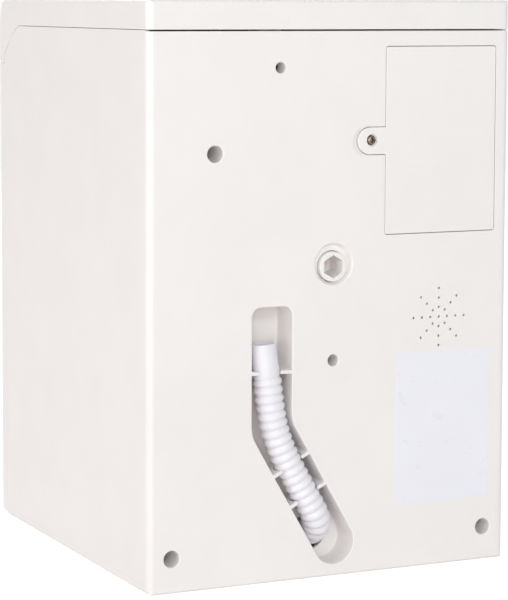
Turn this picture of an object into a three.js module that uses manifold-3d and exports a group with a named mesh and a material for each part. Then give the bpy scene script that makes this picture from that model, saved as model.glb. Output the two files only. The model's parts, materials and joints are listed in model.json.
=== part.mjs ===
// Toy washing machine with a turning drum, a porthole door and a clipped drain hose.
// Millimetres, +Z up. The origin is on the floor under the middle of the case.
// The front (door) faces -Y, the back with the hose recess faces +Y.
import * as THREE from 'three';
import { mergeVertices } from 'three/addons/utils/BufferGeometryUtils.js';
import Module from 'manifold-3d';

const wasm = await Module();
wasm.setup();

// Driving dimensions of the case
const WIDTH = 181;
const HEIGHT = 260;
const BACK = 100;
const FRONT = -92;
const WALL = 2.5;
const GAP = 0.3;
const HALF = WIDTH / 2;
const SEAM_Z = 247;
const PANEL_TOP_Z = 228.2;
const PANEL_RETURN_Y = -82.3;
const REAR_CORNER_R = 3.5;
const FRONT_CORNER_R = 8;
const TOP_EDGE_R = 2;
const BOTTOM_EDGE_R = 1.5;
const TOE_LENGTH = 20;
const TOE_HEIGHT = 6;

// The slanted control fascia, seen from the side
const FASCIA_LOW = { y: -95, z: 231.1 };
const FASCIA_HIGH = { y: -87.1, z: 256 };
const FASCIA_MID = {
  y: (FASCIA_LOW.y + FASCIA_HIGH.y) / 2,
  z: (FASCIA_LOW.z + FASCIA_HIGH.z) / 2,
};
const CHEEK = [[-61.8, SEAM_Z], [-71.6, 242.8], [-83, 233]];

// The drum's axis, and the radii round it
const AXIS_Z = 141;
const TUB_R = 66;
const TUB_BACK = 48;
const TUB_FRONT = -74.5;
const TUB_WALL = 2.4;
const TUB_MOUTH_R = 47;
const DRUM_R = 57;
const DRUM_WALL = 2;
const DRUM_FRONT = -66;
const DRUM_BACK = 36;
const DRUM_MOUTH_R = 46;
const VANES = 3;
const VANE_HEIGHT = 10;
const PORTHOLE_R = 52;
const DOOR_R = 62;
const WINDOW_R = 46;
const SHAFT_R = 4;
const AXLE_END_R = 6.8;
const AXLE_WELL = { r: 9.7, floorR: 8.5, depth: 2.7, rise: 1.2 };
const HEX_ACROSS_FLATS = 8.8;
const HEX_DEPTH = 8.3;

// The gear train: motor pinion, stepped idler, drum gear
const MODULE = 1;
const PRESSURE_ANGLE = THREE.MathUtils.degToRad(20);
const TOOTH_PLAY = 0.3;
const DRUM_TEETH = 60;
const IDLER_SMALL_TEETH = 12;
const IDLER_LARGE_TEETH = 36;
const PINION_TEETH = 10;
const TRAIN_ANGLE = THREE.MathUtils.degToRad(50);
const IDLER_REACH = MODULE * (DRUM_TEETH + IDLER_SMALL_TEETH) / 2;
const MOTOR_REACH = IDLER_REACH + MODULE * (IDLER_LARGE_TEETH + PINION_TEETH) / 2;
const IDLER = onTrain(IDLER_REACH);
const MOTOR = onTrain(MOTOR_REACH);
const GEAR_Y = 54;
const GEAR_WIDTH = 6;
const PLATE_Y = 69.6;
const PLATE_THICK = 2.2;

// Screw wells in the back: place, bore radius, and how far in the screw's head sits
const DEEP_WELL_Y = 32;
const TUB_WELL_Y = 60;
const LID_WELL_Y = 90;
const WELLS = [
  { name: 'lower_screw_left', x: 79, z: 15.5, r: 4, floorY: DEEP_WELL_Y },
  { name: 'lower_screw_right', x: -79, z: 15.5, r: 4, floorY: DEEP_WELL_Y },
  { name: 'upper_screw', x: 58.4, z: 192.9, r: 4, floorY: DEEP_WELL_Y },
  { name: 'tub_screw', x: 0, z: 98.7, r: 2.9, floorY: TUB_WELL_Y },
  { name: 'lid_screw', x: 26.8, z: 230.2, r: 2.7, floorY: LID_WELL_Y },
];
const WELL_WALL = 2;
const WELL_FLOOR = 2;

// Battery compartment: the cover's outline in the back, and three C cells lying across it
const COVER = { x0: -83, x1: -26, z0: 154.6, z1: 239.2, thick: 2.1, cornerR: 1 };
const COVER_TAB = { z0: 190.9, z1: 203.1, x1: -12, screwX: -19, screwZ: 197.3 };
const FINGER_DISH = { x: -16.5, z: 196.6, r: 7.2, depth: 1.3 };
const CELL_R = 13.1;
const CELL_LENGTH = 48.5;
const CELL_PITCH = 26.8;
const CELL_Y = 82;

// Loudspeaker behind a star of small holes
const SPEAKER = { x: -54.4, z: 115.6, r: 18, holeR: 0.6, holePitch: 4.4, arms: 8, rows: 3 };

// Hose recess: a straight run, then one at 30 degrees down to a round end
const RECESS_HALF = 9.9;
const RECESS_DEPTH = 15.6;
const RECESS_TOP = { x: 30.4, z: 124.4, r: 4.5 };
const RECESS_BEND = { x: 30.4, z: 69.9 };
const RECESS_END = { x: -1, z: 15.5 };
const RECESS_FLOOR_Y = BACK - RECESS_DEPTH;
const CLIP_THICK = 1.6;
const CLIP_MOUTH_DEPTH = 3;

// Drain hose
const HOSE_R = 6.6;
const HOSE_ROOT_R = 5.4;
const HOSE_BORE_R = 4.2;
const NOZZLE_R = 5.65;
const NOZZLE_BASE_R = 6.25;
const HOSE_PITCH = 3.9;
const HOSE_SIDES = 8;
const NOZZLE_LENGTH = 15.5;
const HOSE_TAIL = 13;
const HOSE_DEPTH = 4.6;
const HOSE_Y = BACK - HOSE_DEPTH;
const SPIGOT = { x: 9, y: 38, r: 3.5, boreR: 2.3, lowZ: 58 };
const HOSE_ROUTE = [
  [32.7, HOSE_Y, 107.8], [31.9, HOSE_Y, 99], [30.7, HOSE_Y, 90.7], [29.5, HOSE_Y, 81.5],
  [27.7, HOSE_Y, 71.5], [24.1, HOSE_Y, 60.6], [19.1, HOSE_Y, 50.6], [14, HOSE_Y, 41.5],
  [9.5, HOSE_Y - 0.1, 33.8], [5.9, HOSE_Y - 1.2, 27.6], [3.9, HOSE_Y - 4, 22.8],
  [3.3, HOSE_Y - 7.8, 19.8], [3.7, HOSE_Y - 12.4, 18.1], [5, 76, 17.4], [7, 68, 17.6],
  [8.6, 59, 20.5], [9, 50, 27], [9, 43, 36], [9, 39, 47], [9, SPIGOT.y, 60],
  [9, SPIGOT.y, 73.2],
];

// Front panel openings and the door's hinge
const HINGE = { x: -66.5, y: -95.6, r: 3.1, pinR: 1.5, lugZ: 12, lugHalf: 4, knuckleHalf: 7.6 };
const LATCH = { x0: 55.9, x1: 59.1, halfZ: 4, depthY: -85 };
const TUB_EARS = [90, 210, 330];
const TUB_EAR_REACH = 71;

// Controls on the fascia, along it (u), up it (v) and out of it (w)
const DIAL = { u: -6, r: 10.6, height: 6, stemR: 3 };
const LENS = { u: 25, half: 11, halfV: 4 };
const BUTTONS = [
  { name: 'start_button', u: 48, half: 5 },
  { name: 'spin_button', u: 62, half: 5 },
  { name: 'power_button', u: 77, half: 5 },
];
const BUTTON_HALF_V = 3.6;
const BUTTON_PROUD = 1.9;
const BOARD = { u0: -20, u1: 85, halfV: 8.6, w: -9.6, thick: 1.6 };

// Detergent drawer
const DRAWER = { x0: -79.6, x1: -30.4, z0: 235, z1: 252.4, backY: -38, wall: 1.6 };
const DRAWER_GAP = 0.4;
const SPOUT = { x: -40, y: -58, r: 6.4, boreR: 5, lowZ: 201 };

const COLOURS = {
  case: { color: 0xf0eeec, roughness: 0.35 },
  hose: { color: 0xf4f2f8, roughness: 0.5 },
  grey: { color: 0xb9bcc0, roughness: 0.4 },
  dark: { color: 0x3c4046, roughness: 0.6 },
  clear: { color: 0xdfe8ee, roughness: 0.1, transparent: true, opacity: 0.35 },
  rubber: { color: 0x6f7378, roughness: 0.8 },
  steel: { color: 0xc8ccd0, roughness: 0.3, metalness: 1 },
  brass: { color: 0xc9a75a, roughness: 0.35, metalness: 1 },
  board: { color: 0x2f6b45, roughness: 0.6 },
  cell: { color: 0x4c5a66, roughness: 0.4 },
  gear: { color: 0xf2efe4, roughness: 0.5 },
};

function onTrain(reach) {
  return { x: reach * Math.cos(TRAIN_ANGLE), z: AXIS_Z + reach * Math.sin(TRAIN_ANGLE) };
}

// Closed mesh to solid: shared corners merged, flat slivers dropped, faces turned outwards.
function solid(geometry) {
  let plain = geometry.clone();
  plain.deleteAttribute('normal');
  plain.deleteAttribute('uv');
  plain = mergeVertices(plain, 1e-4);
  const points = plain.getAttribute('position').array;
  const index = plain.index.array;
  const triangles = [];
  for (let i = 0; i < index.length; i += 3) {
    const [a, b, c] = [index[i], index[i + 1], index[i + 2]];
    if (a !== b && b !== c && c !== a) triangles.push(a, b, c);
  }
  const corner = (i) => new THREE.Vector3().fromArray(points, 3 * i);
  let volume = 0;
  for (let i = 0; i < triangles.length; i += 3) {
    const [a, b, c] = [corner(triangles[i]), corner(triangles[i + 1]), corner(triangles[i + 2])];
    volume += a.dot(b.cross(c));
  }
  if (volume < 0) triangles.reverse();
  return new wasm.Manifold(new wasm.Mesh({
    numProp: 3,
    vertProperties: Float32Array.from(points),
    triVerts: Uint32Array.from(triangles),
  }));
}

function join(...pieces) {
  return pieces.reduce((sum, piece) => sum.add(piece));
}

function cut(body, ...tools) {
  return tools.reduce((rest, tool) => rest.subtract(tool), body);
}

// Straight solids
function box(x0, x1, y0, y1, z0, z1) {
  const geometry = new THREE.BoxGeometry(x1 - x0, y1 - y0, z1 - z0);
  geometry.translate((x0 + x1) / 2, (y0 + y1) / 2, (z0 + z1) / 2);
  return solid(geometry);
}

function extruded(shape, depth, curveSegments) {
  return new THREE.ExtrudeGeometry(shape, { depth, curveSegments, bevelEnabled: false });
}

// An outline drawn as (y, z), run along X
function alongX(shape, x0, x1, curveSegments = 4) {
  const geometry = extruded(shape, x1 - x0, curveSegments);
  geometry.applyMatrix4(new THREE.Matrix4().makeBasis(
    new THREE.Vector3(0, 1, 0), new THREE.Vector3(0, 0, 1), new THREE.Vector3(1, 0, 0)));
  geometry.translate(x0, 0, 0);
  return solid(geometry);
}

// An outline drawn as (x, z), run along Y
function alongY(shape, y0, y1, curveSegments = 6) {
  const geometry = extruded(shape, y1 - y0, curveSegments);
  geometry.rotateX(Math.PI / 2);
  geometry.translate(0, y1, 0);
  return solid(geometry);
}

// An outline drawn as (x, y), run along Z
function alongZ(shape, z0, z1, curveSegments = 6) {
  const geometry = extruded(shape, z1 - z0, curveSegments);
  geometry.translate(0, 0, z0);
  return solid(geometry);
}

function polygon(points) {
  return new THREE.Shape(points.map(([a, b]) => new THREE.Vector2(a, b)));
}

// A rectangle with one radius at every corner
function rounded(a0, a1, b0, b1, r) {
  return roundedEach(a0, a1, b0, b1, r, r);
}

// A rectangle with one corner radius on its low side and another on its high side
function roundedEach(a0, a1, b0, b1, lowR, highR) {
  const shape = new THREE.Shape();
  shape.moveTo(a0 + lowR, b0);
  shape.absarc(a1 - lowR, b0 + lowR, lowR, -Math.PI / 2, 0);
  shape.absarc(a1 - highR, b1 - highR, highR, 0, Math.PI / 2);
  shape.absarc(a0 + highR, b1 - highR, highR, Math.PI / 2, Math.PI);
  shape.absarc(a0 + lowR, b0 + lowR, lowR, Math.PI, 1.5 * Math.PI);
  shape.closePath();
  return shape;
}

// Round solids along each axis
function rodY(x, z, r, y0, y1, sides = 20) {
  const geometry = new THREE.CylinderGeometry(r, r, y1 - y0, sides);
  geometry.translate(x, (y0 + y1) / 2, z);
  return solid(geometry);
}

function rodZ(x, y, r, z0, z1, sides = 20) {
  const geometry = new THREE.CylinderGeometry(r, r, z1 - z0, sides);
  geometry.rotateX(Math.PI / 2);
  geometry.translate(x, y, (z0 + z1) / 2);
  return solid(geometry);
}

function rodX(y, z, r, x0, x1, sides = 24) {
  const geometry = new THREE.CylinderGeometry(r, r, x1 - x0, sides);
  geometry.rotateZ(-Math.PI / 2);
  geometry.translate((x0 + x1) / 2, y, z);
  return solid(geometry);
}

// A turned solid: profile points (radius, y), closed on itself or starting and ending on the axis
function turned(profile, x = 0, z = AXIS_Z, sides = 24) {
  const closed = profile[0][0] > 0 ? [...profile, profile[0]] : profile;
  const geometry = new THREE.LatheGeometry(
    closed.map(([r, y]) => new THREE.Vector2(r, y)), sides);
  geometry.translate(x, 0, z);
  return solid(geometry);
}

function ringY(rIn, rOut, y0, y1, x = 0, z = AXIS_Z, sides = 24) {
  return turned([[rIn, y0], [rOut, y0], [rOut, y1], [rIn, y1]], x, z, sides);
}

// A place on a circle round the drum's axis
function around(radius, degrees) {
  const angle = THREE.MathUtils.degToRad(degrees);
  return { x: radius * Math.cos(angle), z: AXIS_Z + radius * Math.sin(angle) };
}

// The case sits a millimetre forward, so that the origin is under the middle of the whole toy,
// from the door's crest in front to the hose that stands a little proud of the back.
const model = new THREE.Group();
const toy = new THREE.Group();
toy.position.y = -1;
model.add(toy);

function addPiece(name, body, look) {
  const mesh = body.getMesh();
  const geometry = new THREE.BufferGeometry();
  geometry.setAttribute('position', new THREE.BufferAttribute(mesh.vertProperties, 3));
  geometry.setIndex(new THREE.BufferAttribute(mesh.triVerts, 1));
  geometry.computeVertexNormals();
  const material = new THREE.MeshStandardMaterial({ ...COLOURS[look], flatShading: true });
  const piece = new THREE.Mesh(geometry, material);
  piece.name = name;
  toy.add(piece);
}

// The case: one rounded block, seen from the side, the top and the front, and its hollow
function sideOutline(inset) {
  const foot = BOTTOM_EDGE_R;
  const top = HEIGHT - inset;
  const shape = new THREE.Shape();
  shape.moveTo(FRONT + TOE_LENGTH, inset);
  shape.lineTo(BACK - inset - foot, inset);
  shape.absarc(BACK - inset - foot, inset + foot, foot, -Math.PI / 2, 0);
  shape.absarc(BACK - inset - TOP_EDGE_R, top - TOP_EDGE_R, TOP_EDGE_R, 0, Math.PI / 2);
  shape.lineTo(FASCIA_HIGH.y + 7.5 + inset, top);
  shape.quadraticCurveTo(
    FASCIA_HIGH.y + 2 + inset, top, FASCIA_HIGH.y + 1.05 * inset, FASCIA_HIGH.z - 0.3 * inset);
  shape.lineTo(FASCIA_LOW.y + 1.05 * inset, FASCIA_LOW.z - 0.1 + 0.1 * inset);
  shape.lineTo(FRONT + 0.8 + inset, PANEL_TOP_Z + GAP + inset);
  shape.lineTo(FRONT + inset, PANEL_TOP_Z + GAP - 0.02 + inset);
  shape.lineTo(FRONT + inset, TOE_HEIGHT + inset);
  shape.absellipse(
    FRONT + TOE_LENGTH, TOE_HEIGHT + inset, TOE_LENGTH - inset, TOE_HEIGHT,
    Math.PI, 1.5 * Math.PI);
  return shape;
}

function caseBlock(inset) {
  const side = alongX(sideOutline(inset), -HALF + inset, HALF - inset);
  const cornerBack = Math.max(REAR_CORNER_R - inset, 1);
  const plan = alongZ(
    roundedEach(-HALF + inset, HALF - inset, FASCIA_LOW.y - 0.5 + inset, BACK - inset,
      FRONT_CORNER_R - inset, cornerBack), -1, HEIGHT + 1, 4);
  const front = alongY(
    roundedEach(-HALF + inset, HALF - inset, inset, HEIGHT - inset, BOTTOM_EDGE_R, TOP_EDGE_R),
    FRONT - 10, BACK + 1, 3);
  return side.intersect(plan).intersect(front);
}

const caseShell = cut(caseBlock(0), caseBlock(WALL));

// The zones of the shell that belong to each moulding, as seen from the side
const FAR = 200;

function rearZone() {
  return alongX(polygon([
    [FAR, -FAR], [PANEL_RETURN_Y, -FAR], [PANEL_RETURN_Y, CHEEK[2][1] - GAP],
    [CHEEK[1][0], CHEEK[1][1] - GAP], [CHEEK[0][0], SEAM_Z - GAP], [FAR, SEAM_Z - GAP],
  ]), -FAR, FAR);
}

function panelZone() {
  return box(-FAR, FAR, -FAR, PANEL_RETURN_Y - GAP, -FAR, PANEL_TOP_Z);
}

function topZone() {
  return alongX(polygon([
    [FAR, SEAM_Z], CHEEK[0], CHEEK[1], CHEEK[2], [CHEEK[2][0], PANEL_TOP_Z + GAP],
    [-FAR, PANEL_TOP_Z + GAP], [-FAR, FAR * 2],
    [FAR, FAR * 2],
  ]), -FAR, FAR);
}

// Rear housing
function recessOutline(inset) {
  const half = RECESS_HALF - inset;
  const lean = Math.atan2(RECESS_BEND.x - RECESS_END.x, RECESS_BEND.z - RECESS_END.z);
  const side = { x: Math.cos(lean), z: -Math.sin(lean) };
  const bendShift = Math.tan(lean / 2);
  const shape = new THREE.Shape();
  const topR = RECESS_TOP.r - inset;
  const top = RECESS_TOP.z - inset;
  const [left, right] = [RECESS_TOP.x - half, RECESS_TOP.x + half];
  shape.moveTo(left, RECESS_BEND.z + half * bendShift + 3);
  shape.lineTo(left, top - topR);
  shape.absarc(left + topR, top - topR, topR, Math.PI, Math.PI / 2, true);
  shape.absarc(right - topR, top - topR, topR, Math.PI / 2, 0, true);
  shape.lineTo(right, RECESS_BEND.z - half * bendShift + 4);
  shape.quadraticCurveTo(
    right, RECESS_BEND.z - half * bendShift,
    right - 4 * Math.sin(lean), RECESS_BEND.z - half * bendShift - 4 * Math.cos(lean));
  shape.lineTo(RECESS_END.x + half * side.x, RECESS_END.z + half * side.z);
  shape.absarc(RECESS_END.x, RECESS_END.z, half, -lean, -lean - Math.PI, true);
  shape.lineTo(
    left - 3 * Math.sin(lean), RECESS_BEND.z + half * bendShift - 3 * Math.cos(lean));
  shape.quadraticCurveTo(
    left, RECESS_BEND.z + half * bendShift, left, RECESS_BEND.z + half * bendShift + 3);
  return shape;
}

// One pair of hose clips: a plate across the recess with a snap mouth and a round seat
function clipPair({ x, z, tilt, mouth, shift, hoseR }) {
  const plate = box(-12, 12, RECESS_FLOOR_Y - 0.5, BACK, -CLIP_THICK / 2, CLIP_THICK / 2);
  const seatR = hoseR + 0.45;
  const seat = rodZ(shift, HOSE_Y, seatR, -4, 4, 16);
  const opening = box(-mouth / 2, mouth / 2, HOSE_Y, BACK + 1, -4, 4);
  return cut(plate, seat, opening).rotate([0, tilt, 0]).translate([x, 0, z]);
}

const CLIPS = [
  { x: 31.2, z: 95, tilt: 0, mouth: 9, shift: 0.2, hoseR: NOZZLE_BASE_R },
  { x: 20.9, z: 52.7, tilt: 30, mouth: 10, shift: -0.6, hoseR: HOSE_R },
  { x: 12.8, z: 38, tilt: 30, mouth: 10.3, shift: -0.6, hoseR: HOSE_R },
];

function wellTube({ x, z, r, floorY }) {
  return rodY(x, z, r + WELL_WALL, floorY, BACK - 1, 12);
}

function wellBore({ x, z, r, floorY }) {
  const screwHoleR = 0.45 * r;
  return join(
    rodY(x, z, r, floorY + WELL_FLOOR, BACK + 1, 12), rodY(x, z, screwHoleR, floorY - 1, BACK, 6));
}

function speakerHoles() {
  const holes = [rodY(SPEAKER.x, SPEAKER.z, SPEAKER.holeR, BACK - 4, BACK + 1, 6)];
  for (let arm = 0; arm < SPEAKER.arms; arm += 1) {
    for (let row = 1; row <= SPEAKER.rows; row += 1) {
      const angle = arm * 2 * Math.PI / SPEAKER.arms;
      const reach = row * SPEAKER.holePitch;
      holes.push(rodY(
        SPEAKER.x + reach * Math.cos(angle), SPEAKER.z + reach * Math.sin(angle),
        SPEAKER.holeR, BACK - 4, BACK + 1, 6));
    }
  }
  return holes;
}

const LEDGE_Y = BACK - COVER.thick - GAP;
const LEDGE_THICK = 2.6;
const TONGUE_Z = [175, 218.8];
const CELL_MIDDLE_Z = (COVER.z0 + COVER.z1) / 2;
const CELL_Z = [-1, 0, 1].map((step) => CELL_MIDDLE_Z + step * CELL_PITCH);
const BOX = { x0: COVER.x0 - 2.2, x1: COVER.x1 + 2.2, y0: 66.2, y1: LEDGE_Y - LEDGE_THICK - GAP };
const BERTH = { x0: COVER.x0 + 0.6, x1: COVER.x1 - 0.6, r: CELL_R + 0.32 };

function coverOutline(grow) {
  return rounded(
    COVER.x0 - grow, COVER.x1 + grow, COVER.z0 - grow, COVER.z1 + grow, COVER.cornerR + grow);
}

function tabOutline(grow) {
  const middle = (COVER_TAB.z0 + COVER_TAB.z1) / 2;
  const r = (COVER_TAB.z1 - COVER_TAB.z0) / 2 + grow;
  const shape = new THREE.Shape();
  shape.moveTo(COVER.x1 - 4, middle - r);
  shape.lineTo(COVER_TAB.x1 + grow - r, middle - r);
  shape.absarc(COVER_TAB.x1 + grow - r, middle, r, -Math.PI / 2, Math.PI / 2);
  shape.lineTo(COVER.x1 - 4, middle + r);
  shape.closePath();
  return shape;
}

function rearHousing() {
  const inLedge = 2;
  const frame = box(
    COVER.x0 - 3, COVER.x1 + 3, LEDGE_Y - LEDGE_THICK, BACK - WALL + 0.1,
    COVER.z0 - 3, COVER.z1 + 3);
  const tabPad = box(BOX.x1 + GAP, -9, LEDGE_Y - 5, BACK - WALL + 0.1, 187, 207);
  const collar = rodY(0, AXIS_Z, AXLE_WELL.r + 2, BACK - 14, BACK - 1, 24);
  const speakerRim = ringY(
    SPEAKER.r + 0.5, SPEAKER.r + 2, BACK - 6, BACK - 2, SPEAKER.x, SPEAKER.z, 16);
  const pan = alongY(recessOutline(-WALL + 0.3), RECESS_FLOOR_Y - 2.2, BACK - 1);
  const body = join(
    caseShell.intersect(rearZone()), frame, tabPad, collar, speakerRim, pan,
    ...WELLS.map(wellTube));
  const recess = cut(
    alongY(recessOutline(0), RECESS_FLOOR_Y, BACK + 1),
    ...CLIPS.map(clipPair));
  const hoseHole = rodY(4.2, 17.9, 8.5, RECESS_FLOOR_Y - 4, RECESS_FLOOR_Y + 1, 16)
    .intersect(alongY(recessOutline(0), RECESS_FLOOR_Y - 4, RECESS_FLOOR_Y + 1));
  const ledgeOpening = box(
    COVER.x0 + inLedge, COVER.x1 - inLedge, LEDGE_Y - 6, BACK, COVER.z0 + inLedge,
    COVER.z1 - inLedge);
  const notches = TONGUE_Z.map(
    (z) => box(COVER.x0 - 4, COVER.x0 + 3, LEDGE_Y - LEDGE_THICK - 1, LEDGE_Y + 0.1, z - 5.5, z + 5.5));
  const ballR = (FINGER_DISH.r ** 2 + FINGER_DISH.depth ** 2) / (2 * FINGER_DISH.depth);
  const fingerDish = new THREE.SphereGeometry(ballR, 20, 14);
  fingerDish.translate(FINGER_DISH.x, BACK + ballR - FINGER_DISH.depth, FINGER_DISH.z);
  const axleWell = turned([
    [0, BACK - AXLE_WELL.depth], [AXLE_WELL.floorR, BACK - AXLE_WELL.depth], [AXLE_WELL.r, BACK],
    [AXLE_WELL.r, BACK + 1], [0, BACK + 1],
  ], 0, AXIS_Z + AXLE_WELL.rise, 24);
  return cut(
    body, recess, hoseHole, ledgeOpening, ...notches,
    alongY(coverOutline(GAP), LEDGE_Y, BACK + 1, 3),
    alongY(tabOutline(GAP), LEDGE_Y, BACK + 1, 7),
    rodY(COVER_TAB.screwX, COVER_TAB.screwZ, 2.2, LEDGE_Y - 8, BACK, 12),
    solid(fingerDish), axleWell,
    rodY(0, AXIS_Z, AXLE_END_R + GAP, BACK - 15, BACK, 24),
    ...WELLS.map(wellBore), ...speakerHoles());
}

// Front panel: porthole rim, long screw posts, hinge lugs and bosses for the tub
function frontPanel() {
  const back = FRONT + WALL;
  const posts = WELLS.slice(0, 3).map(({ x, z }) => turned(
    [[0, back - 1], [6.2, back - 1], [5, DEEP_WELL_Y - GAP], [0, DEEP_WELL_Y - GAP]], x, z, 10));
  const bosses = TUB_EARS.map((angle) => {
    const { x, z } = around(TUB_EAR_REACH, angle);
    return rodY(x, z, 4, back - 1, TUB_FRONT - GAP, 10);
  });
  const rim = ringY(PORTHOLE_R - 1, PORTHOLE_R + 2.4, FRONT, -83.9, 0, AXIS_Z, 36);
  const lugs = [-1, 1].map((side) => {
    const middle = AXIS_Z + side * HINGE.lugZ;
    return join(
      rodZ(HINGE.x, HINGE.y, 3.4, middle - HINGE.lugHalf, middle + HINGE.lugHalf, 14),
      box(HINGE.x - 3.4, HINGE.x + 3.4, HINGE.y, back - 1, middle - HINGE.lugHalf,
        middle + HINGE.lugHalf));
  });
  const body = join(caseShell.intersect(panelZone()), ...posts, ...bosses, rim, ...lugs);
  const screwHoles = WELLS.slice(0, 3).map(({ x, z }) => rodY(x, z, 1.7, 10, DEEP_WELL_Y, 6));
  const bossHoles = TUB_EARS.map((angle) => {
    const { x, z } = around(TUB_EAR_REACH, angle);
    return rodY(x, z, 1.4, back + 1, TUB_FRONT, 6);
  });
  return cut(
    body, rodY(0, AXIS_Z, PORTHOLE_R, FRONT - 1, FRONT + 10, 36),
    rodZ(HINGE.x, HINGE.y, HINGE.pinR + 0.1, AXIS_Z - 15, AXIS_Z + 30, 12),
    box(LATCH.x0 - 0.9, LATCH.x1 + 2.5, FRONT - 1, FRONT + 4, AXIS_Z - LATCH.halfZ - 1.2,
      AXIS_Z + LATCH.halfZ + 1.2),
    ...screwHoles, ...bossHoles);
}

// Tools that are drawn on the fascia and then set at its slant
function onFascia(body) {
  return body.rotate([THREE.MathUtils.radToDeg(FASCIA_ANGLE), 0, 0])
    .translate([0, FASCIA_MID.y, FASCIA_MID.z]);
}

const FASCIA_ANGLE = Math.atan2(
  FASCIA_HIGH.z - FASCIA_LOW.z, FASCIA_HIGH.y - FASCIA_LOW.y);

function fasciaBlock(u, half, halfV, w0, w1, r) {
  return onFascia(alongZ(rounded(u - half, u + half, -halfV, halfV, r), w0, w1, 2));
}

function fasciaDisc(u, r, w0, w1, sides) {
  return onFascia(rodZ(u, 0, r, w0, w1, sides));
}

function drawerFront(grow, y0, y1) {
  return alongY(
    rounded(DRAWER.x0 - grow, DRAWER.x1 + grow, DRAWER.z0 - grow, DRAWER.z1 + grow, 1.5), y0, y1, 3);
}

function topCover() {
  const tongue = box(-HALF + 12, HALF - 12, FRONT + WALL + GAP, FRONT + WALL + 2.1, 222, 233);
  const lidPost = cut(
    box(21.8, 31.8, 76, LID_WELL_Y - GAP, 224, HEIGHT - 1),
    rodY(26.8, 230.2, 1.2, 77, LID_WELL_Y + 1, 6));
  const openings = BUTTONS.map(
    ({ u, half }) => fasciaBlock(u, half + GAP, BUTTON_HALF_V + GAP, -8, 4, 1.6));
  return cut(
    join(caseShell.intersect(topZone()), tongue, lidPost),
    drawerFront(DRAWER_GAP, FASCIA_LOW.y - 3, FASCIA_HIGH.y + 12),
    fasciaDisc(DIAL.u, DIAL.stemR + 0.4, -6, 4, 16),
    fasciaBlock(LENS.u, LENS.half + GAP, LENS.halfV + GAP, -8, 4, 1.5),
    ...openings);
}

addPiece('rear_housing', rearHousing(), 'case');
addPiece('front_panel', frontPanel(), 'case');
addPiece('top_cover', topCover(), 'case');

// Screws: a pan head and a shank along -Y from the head
function screw(x, z, headY, headR, length) {
  const shankR = 0.42 * headR;
  return turned([
    [0, headY - length], [shankR, headY - length + 2], [shankR, headY], [headR, headY],
    [0.8 * headR, headY + 0.6 * headR], [0, headY + 0.7 * headR],
  ], x, z, 6);
}

WELLS.forEach(({ name, x, z, r, floorY }) => {
  addPiece(name, screw(x, z, floorY + WELL_FLOOR + 0.2, 0.8 * r, 12), 'steel');
});

// Tub: a cup lying on its side, with a filling collar on top and a drain spigot below
function tub() {
  const inner = TUB_R - TUB_WALL;
  const outside = turned([
    [0, TUB_BACK], [TUB_R - 4, TUB_BACK], [TUB_R, TUB_BACK - 4], [TUB_R, TUB_FRONT],
    [TUB_MOUTH_R + 2, TUB_FRONT], [TUB_MOUTH_R + 2, TUB_FRONT - 5.5], [0, TUB_FRONT - 5.5],
  ]);
  const inside = turned([
    [0, TUB_BACK - TUB_WALL], [inner - 3, TUB_BACK - TUB_WALL], [inner, TUB_BACK - TUB_WALL - 3],
    [inner, TUB_FRONT + TUB_WALL], [TUB_MOUTH_R, TUB_FRONT + TUB_WALL],
    [TUB_MOUTH_R, TUB_FRONT - 7], [0, TUB_FRONT - 7],
  ]);
  const ears = TUB_EARS.map((angle) => {
    const { x, z } = around(TUB_EAR_REACH, angle);
    const near = around(TUB_R - 3, angle);
    return join(
      rodY(x, z, 5, TUB_FRONT, TUB_FRONT + 3, 10),
      rodY(near.x, near.z, 6, TUB_FRONT, TUB_FRONT + 3, 10));
  });
  const hub = rodY(0, AXIS_Z, 9.5, TUB_BACK - 7, TUB_BACK + 2.5, 20);
  const pinBoss = rodY(IDLER.x, IDLER.z, 4, TUB_BACK - 1, TUB_BACK + 4, 14);
  const rearBoss = rodY(WELLS[3].x, WELLS[3].z, 4.6, TUB_BACK - 1, TUB_WELL_Y - GAP, 14);
  const collar = rodZ(SPOUT.x, SPOUT.y, 9, AXIS_Z + 30, 205.5, 16);
  const spigot = rodZ(SPIGOT.x, SPIGOT.y, SPIGOT.r, SPIGOT.lowZ, AXIS_Z - 60, 14);
  const earHoles = TUB_EARS.map((angle) => {
    const { x, z } = around(TUB_EAR_REACH, angle);
    return rodY(x, z, 1.7, TUB_FRONT - 1, TUB_FRONT + 5, 8);
  });
  const shell = cut(join(outside, collar, spigot, ...ears, pinBoss, rearBoss), inside);
  return cut(
    join(shell, hub), rodY(0, AXIS_Z, 6.2, TUB_BACK - 9, TUB_BACK + 4, 18),
    rodZ(SPOUT.x, SPOUT.y, 7, AXIS_Z + 40, 207, 16),
    rodZ(SPIGOT.x, SPIGOT.y, SPIGOT.boreR, SPIGOT.lowZ - 1, AXIS_Z - 50, 12),
    rodY(IDLER.x, IDLER.z, 1.62, TUB_BACK + 0.5, TUB_BACK + 6, 12),
    rodY(WELLS[3].x, WELLS[3].z, 1.3, TUB_BACK + 1, TUB_WELL_Y, 8), ...earHoles);
}

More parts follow.
